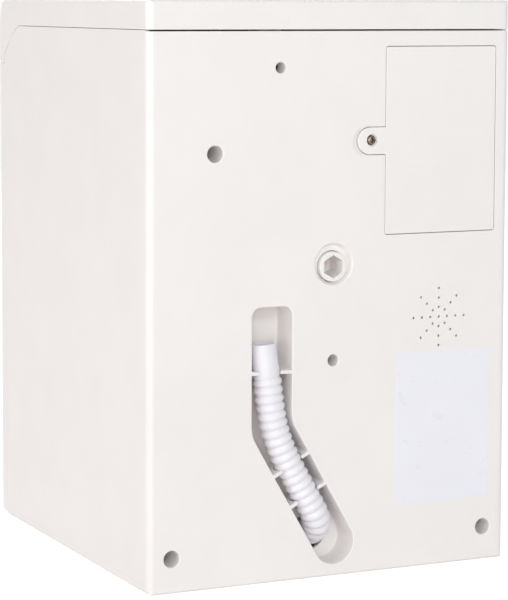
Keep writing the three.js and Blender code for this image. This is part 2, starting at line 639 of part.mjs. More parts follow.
// Drum: a cup inside the tub with a rolled mouth and three lifting vanes
function drum() {
  const inner = DRUM_R - DRUM_WALL;
  const shell = turned([
    [4.15, DRUM_BACK], [DRUM_R - 6, DRUM_BACK], [DRUM_R, DRUM_BACK - 6], [DRUM_R, DRUM_FRONT + 4],
    [DRUM_R - 4, DRUM_FRONT], [DRUM_MOUTH_R, DRUM_FRONT], [DRUM_MOUTH_R, DRUM_FRONT + 2],
    [DRUM_R - 5, DRUM_FRONT + 2], [inner, DRUM_FRONT + 5], [inner, DRUM_BACK - 7],
    [inner - 5, DRUM_BACK - 2.2], [30, DRUM_BACK - 2.2], [24, DRUM_BACK - 6],
    [9, DRUM_BACK - 12], [4.15, DRUM_BACK - 12],
  ]);
  const vanes = [];
  for (let i = 0; i < VANES; i += 1) {
    const shape = new THREE.Shape();
    shape.moveTo(-8, inner + 0.8);
    shape.quadraticCurveTo(-3.4, inner - 1.5, -2.2, inner - VANE_HEIGHT + 2);
    shape.quadraticCurveTo(0, inner - VANE_HEIGHT - 1, 2.2, inner - VANE_HEIGHT + 2);
    shape.quadraticCurveTo(3.4, inner - 1.5, 8, inner + 0.8);
    shape.closePath();
    vanes.push(alongY(shape, DRUM_FRONT + 8, DRUM_BACK - 9, 4)
      .rotate([0, i * 360 / VANES, 0]).translate([0, 0, AXIS_Z]));
  }
  return join(shell, ...vanes);
}

// Shaft: from the drum's hub through the tub to the socketed end in the back
function drumShaft() {
  const hexR = HEX_ACROSS_FLATS / Math.sqrt(3);
  const endY = BACK - 0.3;
  const body = turned([
    [0, DRUM_BACK - 15], [SHAFT_R + 2.6, DRUM_BACK - 15], [SHAFT_R + 2.6, DRUM_BACK - 12.3],
    [SHAFT_R, DRUM_BACK - 12.3], [SHAFT_R, BACK - 16], [AXLE_END_R, BACK - 14],
    [AXLE_END_R, endY - 0.4], [AXLE_END_R - 0.4, endY], [0, endY],
  ], 0, AXIS_Z, 18);
  const socket = rodY(0, AXIS_Z, hexR, endY - HEX_DEPTH, endY + 1, 6);
  return cut(body, socket);
}

addPiece('tub', tub(), 'grey');
addPiece('tub_bush', ringY(SHAFT_R + 0.25, 6, TUB_BACK - 7, TUB_BACK + 3.6, 0, AXIS_Z, 18), 'brass');
addPiece('drum', drum(), 'steel');
addPiece('drum_shaft', drumShaft(), 'case');

function tubScrew(angle) {
  const { x, z } = around(TUB_EAR_REACH, angle);
  return screw(x, z, TUB_FRONT + 3.2, 2.8, 13);
}

TUB_EARS.forEach((angle, i) => addPiece(`tub_ear_screw_${i + 1}`, tubScrew(angle), 'steel'));

// Door seal: a sleeve from the tub's mouth with a lip behind the porthole rim
addPiece('door_seal', turned([
  [TUB_MOUTH_R + 2.3, TUB_FRONT - GAP], [TUB_MOUTH_R + 2.3, -81.4], [TUB_MOUTH_R - 0.4, -83],
  [TUB_MOUTH_R - 0.4, -85.2], [PORTHOLE_R - 0.4, -85.2], [PORTHOLE_R - 0.4, -83.6],
  [PORTHOLE_R + 4, -83.6], [PORTHOLE_R + 4, -81.6], [TUB_MOUTH_R + 4.2, -80.8],
  [TUB_MOUTH_R + 4.2, TUB_FRONT - GAP],
]), 'rubber');

// Gears: involute flanks, thinned for play
function gearOutline(teeth, phase) {
  const pitchR = MODULE * teeth / 2;
  const baseR = pitchR * Math.cos(PRESSURE_ANGLE);
  const tipR = pitchR + 0.8 * MODULE;
  const rootR = pitchR - 1.1 * MODULE;
  const involute = (r) => {
    const angle = Math.acos(Math.min(1, baseR / r));
    return Math.tan(angle) - angle;
  };
  const halfTooth = (r) => (Math.PI / 2 * MODULE - TOOTH_PLAY / 2) / (2 * pitchR)
    + involute(pitchR) - involute(r);
  const lowR = Math.max(rootR, baseR);
  const radii = lowR > rootR + 0.1 ? [rootR, lowR, pitchR, tipR] : [rootR, tipR];
  const points = [];
  for (let i = 0; i < teeth; i += 1) {
    const middle = phase + i * 2 * Math.PI / teeth;
    radii.forEach((r) => points.push([r, middle - halfTooth(Math.max(r, lowR))]));
    [...radii].reverse().forEach((r) => points.push([r, middle + halfTooth(Math.max(r, lowR))]));
  }
  return polygon(points.map(([r, angle]) => [r * Math.cos(angle), r * Math.sin(angle)]));
}

function gear(teeth, place, y0, y1, phase) {
  return alongY(gearOutline(teeth, phase), y0, y1).translate([place.x, 0, place.z]);
}

function drumGear() {
  const wheel = gear(DRUM_TEETH, { x: 0, z: AXIS_Z }, GEAR_Y, GEAR_Y + GEAR_WIDTH, TRAIN_ANGLE);
  const dish = ringY(11, 25.5, GEAR_Y + 3, GEAR_Y + GEAR_WIDTH + 1, 0, AXIS_Z, 24);
  const windows = [];
  for (let i = 0; i < 6; i += 1) {
    const { x, z } = around(18.2, i * 60);
    windows.push(rodY(x, z, 5, GEAR_Y - 1, GEAR_Y + GEAR_WIDTH + 1, 8));
  }
  const hub = rodY(0, AXIS_Z, 8.5, GEAR_Y + 1, GEAR_Y + GEAR_WIDTH + 5, 20);
  return cut(
    join(cut(wheel, dish), hub), ...windows,
    rodY(0, AXIS_Z, SHAFT_R + 0.15, GEAR_Y - 1, GEAR_Y + 15, 18));
}

function idlerGear() {
  const smallPhase = TRAIN_ANGLE + Math.PI + Math.PI / IDLER_SMALL_TEETH;
  const small = gear(
    IDLER_SMALL_TEETH, IDLER, GEAR_Y - 0.5, GEAR_Y + GEAR_WIDTH + 1.5, smallPhase);
  const large = gear(
    IDLER_LARGE_TEETH, IDLER, GEAR_Y + GEAR_WIDTH + 1, GEAR_Y + GEAR_WIDTH + 6, TRAIN_ANGLE);
  const dish = ringY(
    7.5, 14, GEAR_Y + GEAR_WIDTH + 4, GEAR_Y + GEAR_WIDTH + 7, IDLER.x, IDLER.z, 20);
  return cut(
    join(small, cut(large, dish)),
    rodY(IDLER.x, IDLER.z, 1.8, GEAR_Y - 2, GEAR_Y + GEAR_WIDTH + 8, 12));
}

const MOTOR_FACE_Y = PLATE_Y + PLATE_THICK + GAP;
const MOTOR_LENGTH = 24.4;

function motorCan() {
  const canR = 10;
  const flat = 7.6;
  const body = rodY(MOTOR.x, MOTOR.z, canR, MOTOR_FACE_Y, MOTOR_FACE_Y + MOTOR_LENGTH, 24)
    .intersect(box(MOTOR.x - canR, MOTOR.x + canR, 0, BACK, MOTOR.z - flat, MOTOR.z + flat));
  const nose = rodY(MOTOR.x, MOTOR.z, 3, MOTOR_FACE_Y - 1.6, MOTOR_FACE_Y + 1, 12);
  return cut(join(body, nose), rodY(MOTOR.x, MOTOR.z, 1.25, MOTOR_FACE_Y - 3, MOTOR_FACE_Y + 6, 10));
}

function motorPinion() {
  const body = gear(
    PINION_TEETH, MOTOR, GEAR_Y + GEAR_WIDTH + 0.6, GEAR_Y + GEAR_WIDTH + 7,
    TRAIN_ANGLE + Math.PI + Math.PI / PINION_TEETH);
  return cut(body, rodY(MOTOR.x, MOTOR.z, 1.1, GEAR_Y, BACK, 10));
}

// Gear plate: carries the motor and the idler's pin, and stands on the tub with two legs
const PLATE_LEGS = [{ x: 49, z: 163 }, { x: -1, z: 190 }];

function gearPlate() {
  const spots = [
    { x: IDLER.x, z: IDLER.z, r: 5 }, { x: MOTOR.x, z: MOTOR.z, r: 11.5 },
    { ...PLATE_LEGS[0], r: 4.5 }, { ...PLATE_LEGS[1], r: 4.5 },
  ];
  const discs = spots.map(({ x, z, r }) => rodY(x, z, r, PLATE_Y, PLATE_Y + PLATE_THICK, 14));
  const web = polygon([
    [IDLER.x, IDLER.z - 5], [PLATE_LEGS[0].x + 2, PLATE_LEGS[0].z - 4],
    [PLATE_LEGS[0].x + 4.3, PLATE_LEGS[0].z + 2], [MOTOR.x + 11, MOTOR.z + 2],
    [MOTOR.x - 2, MOTOR.z + 11], [PLATE_LEGS[1].x + 1, PLATE_LEGS[1].z + 4.3],
    [PLATE_LEGS[1].x - 3, PLATE_LEGS[1].z - 3],
  ]);
  const legs = PLATE_LEGS.map(({ x, z }) => rodY(x, z, 3.4, TUB_BACK + GAP, PLATE_Y + 1, 8));
  const body = join(...discs, alongY(web, PLATE_Y, PLATE_Y + PLATE_THICK), ...legs);
  const screwHoles = PLATE_LEGS.map(
    ({ x, z }) => rodY(x, z, 1.3, PLATE_Y - 12, PLATE_Y + PLATE_THICK + 1, 6));
  return cut(
    body, rodY(MOTOR.x, MOTOR.z, 3.4, PLATE_Y - 1, PLATE_Y + 5, 12),
    rodY(IDLER.x, IDLER.z, 1.62, PLATE_Y - 1, PLATE_Y + 5, 12), ...screwHoles);
}

addPiece('drum_gear', drumGear(), 'gear');
addPiece('idler_gear', idlerGear(), 'gear');
addPiece('idler_pin', rodY(
  IDLER.x, IDLER.z, 1.5, TUB_BACK + 0.8, PLATE_Y + PLATE_THICK, 12), 'steel');
addPiece('gear_plate', gearPlate(), 'grey');
addPiece('motor', motorCan(), 'steel');
addPiece('motor_shaft', rodY(
  MOTOR.x, MOTOR.z, 1, GEAR_Y + GEAR_WIDTH + 0.8, MOTOR_FACE_Y + 5, 10), 'steel');
addPiece('motor_pinion', motorPinion(), 'brass');
PLATE_LEGS.forEach(({ x, z }, i) => {
  addPiece(`gear_plate_screw_${i + 1}`, screw(x, z, PLATE_Y + PLATE_THICK + 0.2, 2.6, 11), 'steel');
});

// Battery box: three round-bottomed berths, open to the back
function batteryBox() {
  const z0 = CELL_Z[0] - BERTH.r - 1.8;
  const z1 = CELL_Z[2] + BERTH.r + 1.8;
  const berths = CELL_Z.flatMap((z) => [
    rodX(CELL_Y, z, BERTH.r + 0.1, BERTH.x0, BERTH.x1, 16),
    box(BERTH.x0, BERTH.x1, CELL_Y, BACK, z - BERTH.r - 0.1, z + BERTH.r + 0.1),
  ]);
  const stripSlots = [BERTH.x0, BERTH.x1 - 1.2].map(
    (x) => box(x, x + 1.2, CELL_Y - 5.5, BACK, CELL_Z[0] - 7, CELL_Z[2] + 7));
  return cut(box(BOX.x0, BOX.x1, BOX.y0, BOX.y1, z0, z1), ...berths, ...stripSlots);
}

function cell(z, flip) {
  const middle = (BERTH.x0 + BERTH.x1) / 2;
  const half = CELL_LENGTH / 2;
  const profile = [
    [0, -half], [CELL_R - 1, -half], [CELL_R, -half + 1], [CELL_R, half - 1],
    [CELL_R - 1, half], [3.4, half], [3.4, half + 1.5], [0, half + 1.5],
  ];
  const geometry = new THREE.LatheGeometry(profile.map(([r, h]) => new THREE.Vector2(r, h)), 16);
  geometry.rotateZ(flip * Math.PI / 2);
  geometry.translate(middle, CELL_Y, z);
  return solid(geometry);
}

function coneSpring(x, z, side) {
  const geometry = new THREE.CylinderGeometry(2.6, 4.8, 1.8, 8);
  geometry.rotateZ(side * Math.PI / 2);
  geometry.translate(x - side * 0.8, CELL_Y, z);
  return solid(geometry);
}

function contactStrip(side, springZ) {
  const wallX = side < 0 ? BERTH.x0 + 0.2 : BERTH.x1 - 0.7;
  const plate = box(wallX, wallX + 0.5, CELL_Y - 5, CELL_Y + 8, CELL_Z[0] - 6, CELL_Z[2] + 6);
  return join(plate, ...springZ.map((z) => coneSpring(wallX + (side < 0 ? 0.3 : 0.2), z, side)));
}

addPiece('battery_box', batteryBox(), 'grey');
CELL_Z.forEach((z, i) => addPiece(`battery_cell_${i + 1}`, cell(z, i % 2 ? 1 : -1), 'cell'));
addPiece('contact_strip_left', contactStrip(-1, [CELL_Z[0], CELL_Z[2]]), 'steel');
addPiece('contact_strip_right', contactStrip(1, [CELL_Z[1]]), 'steel');

// Battery cover: flush plate with a round-ended screw tab and two tongues on its far edge
function batteryCover() {
  const inner = BACK - COVER.thick;
  const plate = join(
    alongY(coverOutline(0), inner, BACK, 3), alongY(tabOutline(0), inner, BACK, 7));
  const tongues = TONGUE_Z.flatMap((z) => [
    box(COVER.x0 + 0.4, COVER.x0 + 2.4, inner - 1.9, inner + 0.5, z - 4, z + 4),
    box(COVER.x0 - 2, COVER.x0 + 2.4, inner - 1.9, inner - 0.8, z - 4, z + 4),
  ]);
  return cut(
    join(plate, ...tongues),
    rodY(COVER_TAB.screwX, COVER_TAB.screwZ, 2.9, BACK - 1.3, BACK + 1, 14),
    rodY(COVER_TAB.screwX, COVER_TAB.screwZ, 1.6, BACK - 4, BACK + 1, 8));
}

addPiece('battery_cover', batteryCover(), 'case');
addPiece('battery_cover_screw', screw(
  COVER_TAB.screwX, COVER_TAB.screwZ, BACK - 1.2, 1.75, 8), 'steel');

// Loudspeaker: flange, basket and magnet
const SPEAKER_FACE = BACK - WALL - GAP;
addPiece('speaker', turned([
  [0, SPEAKER_FACE - 1.2], [6, SPEAKER_FACE - 3.5], [SPEAKER.r - 2, SPEAKER_FACE],
  [SPEAKER.r, SPEAKER_FACE], [SPEAKER.r, SPEAKER_FACE - 1.6], [SPEAKER.r - 3, SPEAKER_FACE - 2.4],
  [9, SPEAKER_FACE - 9], [9, SPEAKER_FACE - 14], [0, SPEAKER_FACE - 14],
], SPEAKER.x, SPEAKER.z, 16), 'dark');

// Controls behind and on the fascia
function controlBoard() {
  return onFascia(box(
    BOARD.u0, BOARD.u1, -BOARD.halfV, BOARD.halfV, BOARD.w - BOARD.thick, BOARD.w));
}

function buttonPad() {
  const sheet = box(BUTTONS[0].u - 7, BUTTONS[2].u + 7, -5, 5, BOARD.w + 0.2, BOARD.w + 1.6);
  const domes = BUTTONS.map(({ u }) => rodZ(u, 0, 2.2, BOARD.w + 1, BOARD.w + 3.6, 8));
  return onFascia(join(sheet, ...domes));
}

function dialSwitch() {
  const body = box(DIAL.u - 7, DIAL.u + 7, -7, 7, BOARD.w + 0.2, BOARD.w + 5.6);
  return onFascia(cut(body, rodZ(DIAL.u, 0, DIAL.stemR + 0.4, BOARD.w + 1.4, BOARD.w + 8, 16)));
}

function programDial() {
  const grooves = 12;
  const points = [];
  for (let i = 0; i < grooves; i += 1) {
    [[0, 0], [0.3, 0], [0.5, -0.5], [0.8, -0.5]].forEach(([part, depth]) => {
      const angle = (i + part) * 2 * Math.PI / grooves;
      points.push([(DIAL.r + depth) * Math.cos(angle), (DIAL.r + depth) * Math.sin(angle)]);
    });
  }
  const skirt = alongZ(polygon(points), 0.4, 2.8);
  const knobProfile = [
    [0, 2.6], [DIAL.r - 1.4, 2.6], [DIAL.r - 1.7, DIAL.height - 0.9],
    [DIAL.r - 2.6, DIAL.height], [0, DIAL.height],
  ];
  const knob = new THREE.LatheGeometry(knobProfile.map(([r, h]) => new THREE.Vector2(r, h)), 24);
  knob.rotateX(Math.PI / 2);
  const pointer = box(-0.8, 0.8, 3, DIAL.r - 1.9, DIAL.height - 2, DIAL.height + 0.5);
  const stem = rodZ(0, 0, DIAL.stemR, BOARD.w + 1.8, 1, 16);
  return onFascia(join(skirt, solid(knob), pointer, stem).translate([DIAL.u, 0, 0]));
}

function button({ u, half }) {
  return onFascia(join(
    alongZ(rounded(u - half, u + half, -BUTTON_HALF_V, BUTTON_HALF_V, 1.3), -3.4, BUTTON_PROUD, 2),
    box(u - half - 1.2, u + half + 1.2, -BUTTON_HALF_V - 1, BUTTON_HALF_V + 1, -4, -WALL - GAP)));
}

function indicatorLens() {
  const { u, half, halfV } = LENS;
  return onFascia(join(
    alongZ(rounded(u - half, u + half, -halfV, halfV, 1.2), -3.4, 0.3, 2),
    box(u - half - 1.2, u + half + 1.2, -halfV - 1, halfV + 1, -4, -WALL - GAP)));
}

addPiece('control_board', controlBoard(), 'board');
addPiece('button_pad', buttonPad(), 'rubber');
addPiece('dial_switch', dialSwitch(), 'dark');
addPiece('program_dial', programDial(), 'grey');
BUTTONS.forEach((place) => addPiece(place.name, button(place), 'grey'));
addPiece('indicator_lens', indicatorLens(), 'clear');

// Detergent drawer: a slanted front that closes flush with the fascia, and a tray behind it
function fasciaSlab(outward, inward) {
  const along = (w, v) => [
    FASCIA_MID.y + v * Math.cos(FASCIA_ANGLE) - w * Math.sin(FASCIA_ANGLE),
    FASCIA_MID.z + v * Math.sin(FASCIA_ANGLE) + w * Math.cos(FASCIA_ANGLE),
  ];
  return polygon([along(outward, -20), along(-inward, -20), along(-inward, 20), along(outward, 20)]);
}

function detergentDrawer() {
  const { x0, x1, z0, z1, backY, wall } = DRAWER;
  const front = drawerFront(0, FASCIA_LOW.y - 3, FASCIA_HIGH.y + 12)
    .intersect(alongX(fasciaSlab(0, 2.4), x0 - 1, x1 + 1));
  const [left, right, low, high] = [x0 + 2.4, x1 - 2.4, z0 + 0.4, z1 - 3];
  const tray = cut(
    box(left, right, -89, backY, low, high),
    box(left + wall, -56, -86, backY - wall, low + wall, high + 1),
    box(-56 + wall, right - wall, -86, backY - wall, low + wall, high + 1),
    rodZ(-40, -62, 3.5, low - 1, low + 3, 12));
  const cutOff = alongX(fasciaSlab(30, 0.5), x0 - 1, x1 + 1);
  const grip = box(-63, -47, -96.6, -90, z1 - 6.6, z1 - 4.4);
  return join(front, cut(tray, cutOff), grip);
}

function drawerHousing() {
  const { x0, x1, z0, backY } = DRAWER;
  const [left, right, low] = [x0 - 1.6, x1 + 1.6, z0 - 3];
  const shell = cut(
    box(left, right, -84.3, backY + 5, low, HEIGHT - WALL - GAP),
    box(left + 1.8, right - 1.8, -90, backY + 3.2, low + 2, HEIGHT),
    box(left - 1, right + 1, -90, -78, HEIGHT - 5.5, HEIGHT));
  const spout = rodZ(SPOUT.x, SPOUT.y, SPOUT.r, SPOUT.lowZ, low + 1, 18);
  return cut(
    join(shell, spout), rodZ(SPOUT.x, SPOUT.y, SPOUT.boreR, SPOUT.lowZ - 1, low + 4, 18));
}

addPiece('detergent_drawer', detergentDrawer(), 'case');
addPiece('drawer_housing', drawerHousing(), 'grey');

// Door: a domed ring with a clear bowl held by an inner ring
function handleSector(rIn, rOut, halfDegrees, y0, y1) {
  const half = THREE.MathUtils.degToRad(halfDegrees);
  const shape = new THREE.Shape();
  shape.absarc(0, 0, rOut, -half, half);
  shape.absarc(0, 0, rIn, half, -half, true);
  shape.closePath();
  return alongY(shape, y0, y1, 8).translate([0, 0, AXIS_Z]);
}

function doorFrame() {
  const ring = turned([
    [WINDOW_R, -95.2], [WINDOW_R, -96.4], [49, -98.8], [54, -100], [58.6, -99.1],
    [61.2, -97], [DOOR_R, -94.6], [DOOR_R, -92.6], [60.4, -92.6], [60.4, -95.2],
  ], 0, AXIS_Z, 40);
  const knuckle = rodZ(
    HINGE.x, HINGE.y, HINGE.r, AXIS_Z - HINGE.knuckleHalf, AXIS_Z + HINGE.knuckleHalf, 16);
  const arm = box(
    HINGE.x, -58.6, HINGE.y - 2.6, HINGE.y + 0.4, AXIS_Z - HINGE.knuckleHalf,
    AXIS_Z + HINGE.knuckleHalf);
  return cut(
    join(ring, knuckle, arm), handleSector(53, 70, 13.4, -105, -90),
    rodZ(HINGE.x, HINGE.y, HINGE.pinR + 0.2, AXIS_Z - 20, AXIS_Z + 20, 16));
}

function doorHandle() {
  const grip = cut(
    handleSector(53.3, 65.2, 13.1, -99.6, -95.4), handleSector(55.5, 61, 9, -101, -97.8));
  const hook = box(LATCH.x0, LATCH.x1, -96, LATCH.depthY, AXIS_Z - LATCH.halfZ, AXIS_Z + LATCH.halfZ);
  return join(grip, hook);
}

function doorInnerRing() {
  const ring = turned([
    [60.1, -94.9], [51, -94.9], [51, -92.7], [47.2, -92.7], [47.2, -91.3], [48.8, -90.6],
    [48.8, -86], [50.6, -86], [50.6, -92.6], [60.1, -92.6],
  ]);
  return cut(ring, box(
    LATCH.x0 - 0.3, 62, -97, -90, AXIS_Z - LATCH.halfZ - 0.3, AXIS_Z + LATCH.halfZ + 0.3));
}

function doorWindow() {
  return turned([
    [0, -68.6], [30, -69.6], [37.5, -71.2], [41, -75], [46.9, -93], [50.7, -93],
    [50.7, -94.9], [45.2, -94.9], [39.3, -76], [36.4, -73], [29.8, -71.5], [0, -70.5],
  ]);
}

addPiece('door_frame', doorFrame(), 'case');
addPiece('door_handle', doorHandle(), 'grey');
addPiece('door_inner_ring', doorInnerRing(), 'grey');
addPiece('door_window', doorWindow(), 'clear');
addPiece('door_hinge_pin', rodZ(
  HINGE.x, HINGE.y, HINGE.pinR, AXIS_Z - 14.6, AXIS_Z + 16, 12), 'steel');

// Drain hose: smooth nozzle, ribbed length with its bore, and a smooth cuff on the tub's spigot
function drainHose() {
  const route = new THREE.CatmullRomCurve3(
    HOSE_ROUTE.map(([x, y, z]) => new THREE.Vector3(x, y, z)), false, 'centripetal');
  route.arcLengthDivisions = 800;
  const length = route.getLength();
  const ribs = Math.round((length - NOZZLE_LENGTH - HOSE_TAIL) / HOSE_PITCH);
  const pitch = (length - NOZZLE_LENGTH - HOSE_TAIL) / ribs;
  const stations = [[0, NOZZLE_R], [NOZZLE_LENGTH - 1, NOZZLE_BASE_R]];
  for (let i = 0; i < ribs; i += 1) {
    const start = NOZZLE_LENGTH + i * pitch;
    stations.push([start, HOSE_ROOT_R], [start + pitch / 2, HOSE_R]);
  }
  stations.push([length - HOSE_TAIL, HOSE_ROOT_R], [length, HOSE_ROOT_R]);
  const boreStations = [[length, HOSE_BORE_R], [length - HOSE_TAIL, HOSE_BORE_R]];
  for (let i = ribs - 5; i > 0; i -= 5) {
    boreStations.push([NOZZLE_LENGTH + i * pitch, HOSE_BORE_R]);
  }
  boreStations.push([NOZZLE_LENGTH, HOSE_BORE_R], [0, HOSE_BORE_R]);
  const rings = [...stations, ...boreStations];
  const steps = 600;
  const frames = route.computeFrenetFrames(steps, false);
  const points = [];
  rings.forEach(([along, radius]) => {
    const part = Math.min(1, along / length);
    const centre = route.getPointAt(part);
    const step = Math.round(part * steps);
    const [normal, binormal] = [frames.normals[step], frames.binormals[step]];
    for (let side = 0; side < HOSE_SIDES; side += 1) {
      const angle = side * 2 * Math.PI / HOSE_SIDES;
      const point = centre.clone().addScaledVector(normal, radius * Math.cos(angle))
        .addScaledVector(binormal, radius * Math.sin(angle));
      points.push(point.x, point.y, point.z);
    }
  });
  const index = [];
  for (let ring = 0; ring < rings.length; ring += 1) {
    const next = (ring + 1) % rings.length;
    for (let side = 0; side < HOSE_SIDES; side += 1) {
      const beside = (side + 1) % HOSE_SIDES;
      const [a, b] = [ring * HOSE_SIDES + side, ring * HOSE_SIDES + beside];
      const [c, d] = [next * HOSE_SIDES + beside, next * HOSE_SIDES + side];
      index.push(a, b, c, a, c, d);
    }
  }
  const geometry = new THREE.BufferGeometry();
  geometry.setAttribute('position', new THREE.Float32BufferAttribute(points, 3));
  geometry.setIndex(index);
  console.log(`drain hose ${length.toFixed(1)} mm long, ${ribs} ribs`);
  return solid(geometry);
}

addPiece('drain_hose', drainHose(), 'hose');

export default model;
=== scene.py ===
# %% [markdown]
# # A toy washing machine, seen from behind
# The real toy is a box of moulded white plastic that a child can lift with two hands. Its packed
# model holds every piece at its real size. Blender adds the finish: the small round edges that a
# mould leaves, the ribs of the drain hose, and the way that white plastic takes soft light. The
# model comes in first, as a frame that never moves, and each finer piece is made around it.

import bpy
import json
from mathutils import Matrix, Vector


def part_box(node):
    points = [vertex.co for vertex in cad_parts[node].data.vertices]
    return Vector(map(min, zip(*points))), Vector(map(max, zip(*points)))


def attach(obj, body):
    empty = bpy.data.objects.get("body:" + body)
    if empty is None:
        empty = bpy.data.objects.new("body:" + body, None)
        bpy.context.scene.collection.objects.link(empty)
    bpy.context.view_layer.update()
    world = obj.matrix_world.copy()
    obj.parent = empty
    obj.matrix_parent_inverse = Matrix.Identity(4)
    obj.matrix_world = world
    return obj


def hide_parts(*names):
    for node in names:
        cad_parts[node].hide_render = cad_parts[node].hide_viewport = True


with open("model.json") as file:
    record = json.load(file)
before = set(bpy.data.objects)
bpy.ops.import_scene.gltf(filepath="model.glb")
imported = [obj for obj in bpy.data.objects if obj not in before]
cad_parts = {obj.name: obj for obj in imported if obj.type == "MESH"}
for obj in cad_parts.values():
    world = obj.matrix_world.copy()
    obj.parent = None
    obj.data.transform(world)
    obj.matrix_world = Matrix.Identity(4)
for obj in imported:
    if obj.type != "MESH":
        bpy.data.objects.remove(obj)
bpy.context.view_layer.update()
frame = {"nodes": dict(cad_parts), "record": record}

# %% [markdown]
# The maker drew the toy in millimetres with its back face at y = 100. In the frame the case sits
# slightly further forward. One shift and one scale turn the maker's numbers into Blender's metres,
# so every number below can be read as a real size on the toy.

# %% The toy's millimetres and the scene's metres
import json
import math

import bmesh
import bpy
from mathutils import Vector

MM = 0.001
BACK = 100.0
TOY_SHIFT = Vector((0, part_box("rear_housing")[1].y / MM - BACK, 0))


def toy_box(node):
    """Lowest and highest corner of a node of the frame, in the toy's millimetres."""
    low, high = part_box(node)
    return low / MM - TOY_SHIFT, high / MM - TOY_SHIFT


def metres(point):
    """A point of the toy in Blender's metres."""
    return (Vector(point) + TOY_SHIFT) * MM


def into_scene(name, data):
    """A new object with this data, in the scene."""
    thing = bpy.data.objects.new(name, data)
    bpy.context.scene.collection.objects.link(thing)
    return thing


HALF = toy_box("rear_housing")[1].x
HEIGHT = toy_box("top_cover")[1].z
FRONT = -92.0
WALL = 2.5
GAP = 0.3
print("case", 2 * HALF, "wide,", HEIGHT, "tall,", BACK - FRONT, "deep")

# %% [markdown]
# The photograph was taken from behind the toy, a little to one side, with a long lens at the height
# of its top. Its upright edges stay upright, as with a shift lens. Here the camera tilts down a few
# degrees and the picture is moved down a little, so that views from other sides hold the whole toy.
# The price is that points of the toy lie up to four pixels from where a level camera puts them.

# %% Camera
PHOTO_HEIGHT_PX = 600
FOCAL_PX = 2361.8
CENTRE_SHIFT_PX = -80.0
SENSOR = 36.0
CAMERA_PLACE = Vector((484.1, 1032.4, 259.6)) * MM
CAMERA_YAW = math.radians(25.46)
CAMERA_PITCH = math.radians(5.31)
CAMERA_ROLL = math.radians(0.203)


def make_camera():
    """Places the camera at the photograph's viewpoint."""
    data = bpy.data.cameras.new("Camera")
    data.sensor_width = SENSOR
    data.lens = FOCAL_PX * SENSOR / PHOTO_HEIGHT_PX
    data.shift_y = CENTRE_SHIFT_PX / PHOTO_HEIGHT_PX
    data.clip_start = 0.05
    data.clip_end = 20
    camera = into_scene("Camera", data)
    forward = Vector((
        -math.sin(CAMERA_YAW) * math.cos(CAMERA_PITCH),
        -math.cos(CAMERA_YAW) * math.cos(CAMERA_PITCH),
        -math.sin(CAMERA_PITCH),
    ))
    camera.location = CAMERA_PLACE
    camera.rotation_euler = forward.to_track_quat("-Z", "Y").to_euler()
    camera.rotation_euler.rotate_axis("Z", CAMERA_ROLL)
    bpy.context.scene.camera = camera
    return camera


camera = make_camera()
print("lens", round(camera.data.lens, 1), "mm at", [round(v, 3) for v in camera.location])

# %% [markdown]
# The studio is a white room. The world lights the toy evenly from all round. What the camera sees
# of it, and what shines back from metal and clear plastic, is plain white, so the light on the
# toy can be set without changing the background.

# %% Studio
bpy.context.scene.view_settings.view_transform = "Standard"
AMBIENT = 0.52
AMBIENT_TINT = (1.0, 0.97, 0.97, 1.0)
BACKGROUND = 1.0
PLAIN_WHITE = (1.0, 1.0, 1.0, 1.0)


def wire(tree, node, **sockets):
    """Sets or links a node's inputs by name."""
    for name, value in sockets.items():
        entry = node.inputs[name.replace("_", " ")]
        if isinstance(value, bpy.types.NodeSocket):
            tree.links.new(value, entry)
        else:
            entry.default_value = value
    return node


def add_node(tree, kind, **sockets):
    """A new shader node with its inputs set or linked."""
    return wire(tree, tree.nodes.new("ShaderNode" + kind), **sockets)


def seen_rays(tree):
    """A socket that is 1 for rays from the camera, from gloss and through clear plastic."""
    path = add_node(tree, "LightPath")
    seen = path.outputs["Is Camera Ray"]
    for kind in ("Is Glossy Ray", "Is Transmission Ray"):
        either = add_node(tree, "Math")
        either.operation = "MAXIMUM"
        tree.links.new(seen, either.inputs[0])
        tree.links.new(path.outputs[kind], either.inputs[1])
        seen = either.outputs[0]
    return seen


def make_world():
    """White all round, at one level for the eye and another for the light."""
    world = bpy.data.worlds.new("Studio")
    world.use_nodes = True
    bpy.context.scene.world = world
    tree = world.node_tree
    tree.nodes.clear()
    seen = seen_rays(tree)
    level = add_node(tree, "MapRange", Value=seen, To_Min=AMBIENT, To_Max=BACKGROUND)
    tint = add_node(tree, "MixRGB", Fac=seen, Color1=AMBIENT_TINT, Color2=PLAIN_WHITE)
    background = add_node(
        tree, "Background", Color=tint.outputs["Color"], Strength=level.outputs["Result"])
    add_node(tree, "OutputWorld", Surface=background.outputs[0])


make_world()

# %% [markdown]
# The floor is a wide white sheet. It keeps the toy's soft shadow. A little light of its own, seen
# only by the eye and by shiny things, brings its open part up to the white of the background.

# %% Floor
FLOOR_HALF = 8.0
FLOOR_GLOW = 0.58
FLOOR_WHITE = (0.86, 0.86, 0.86, 1.0)


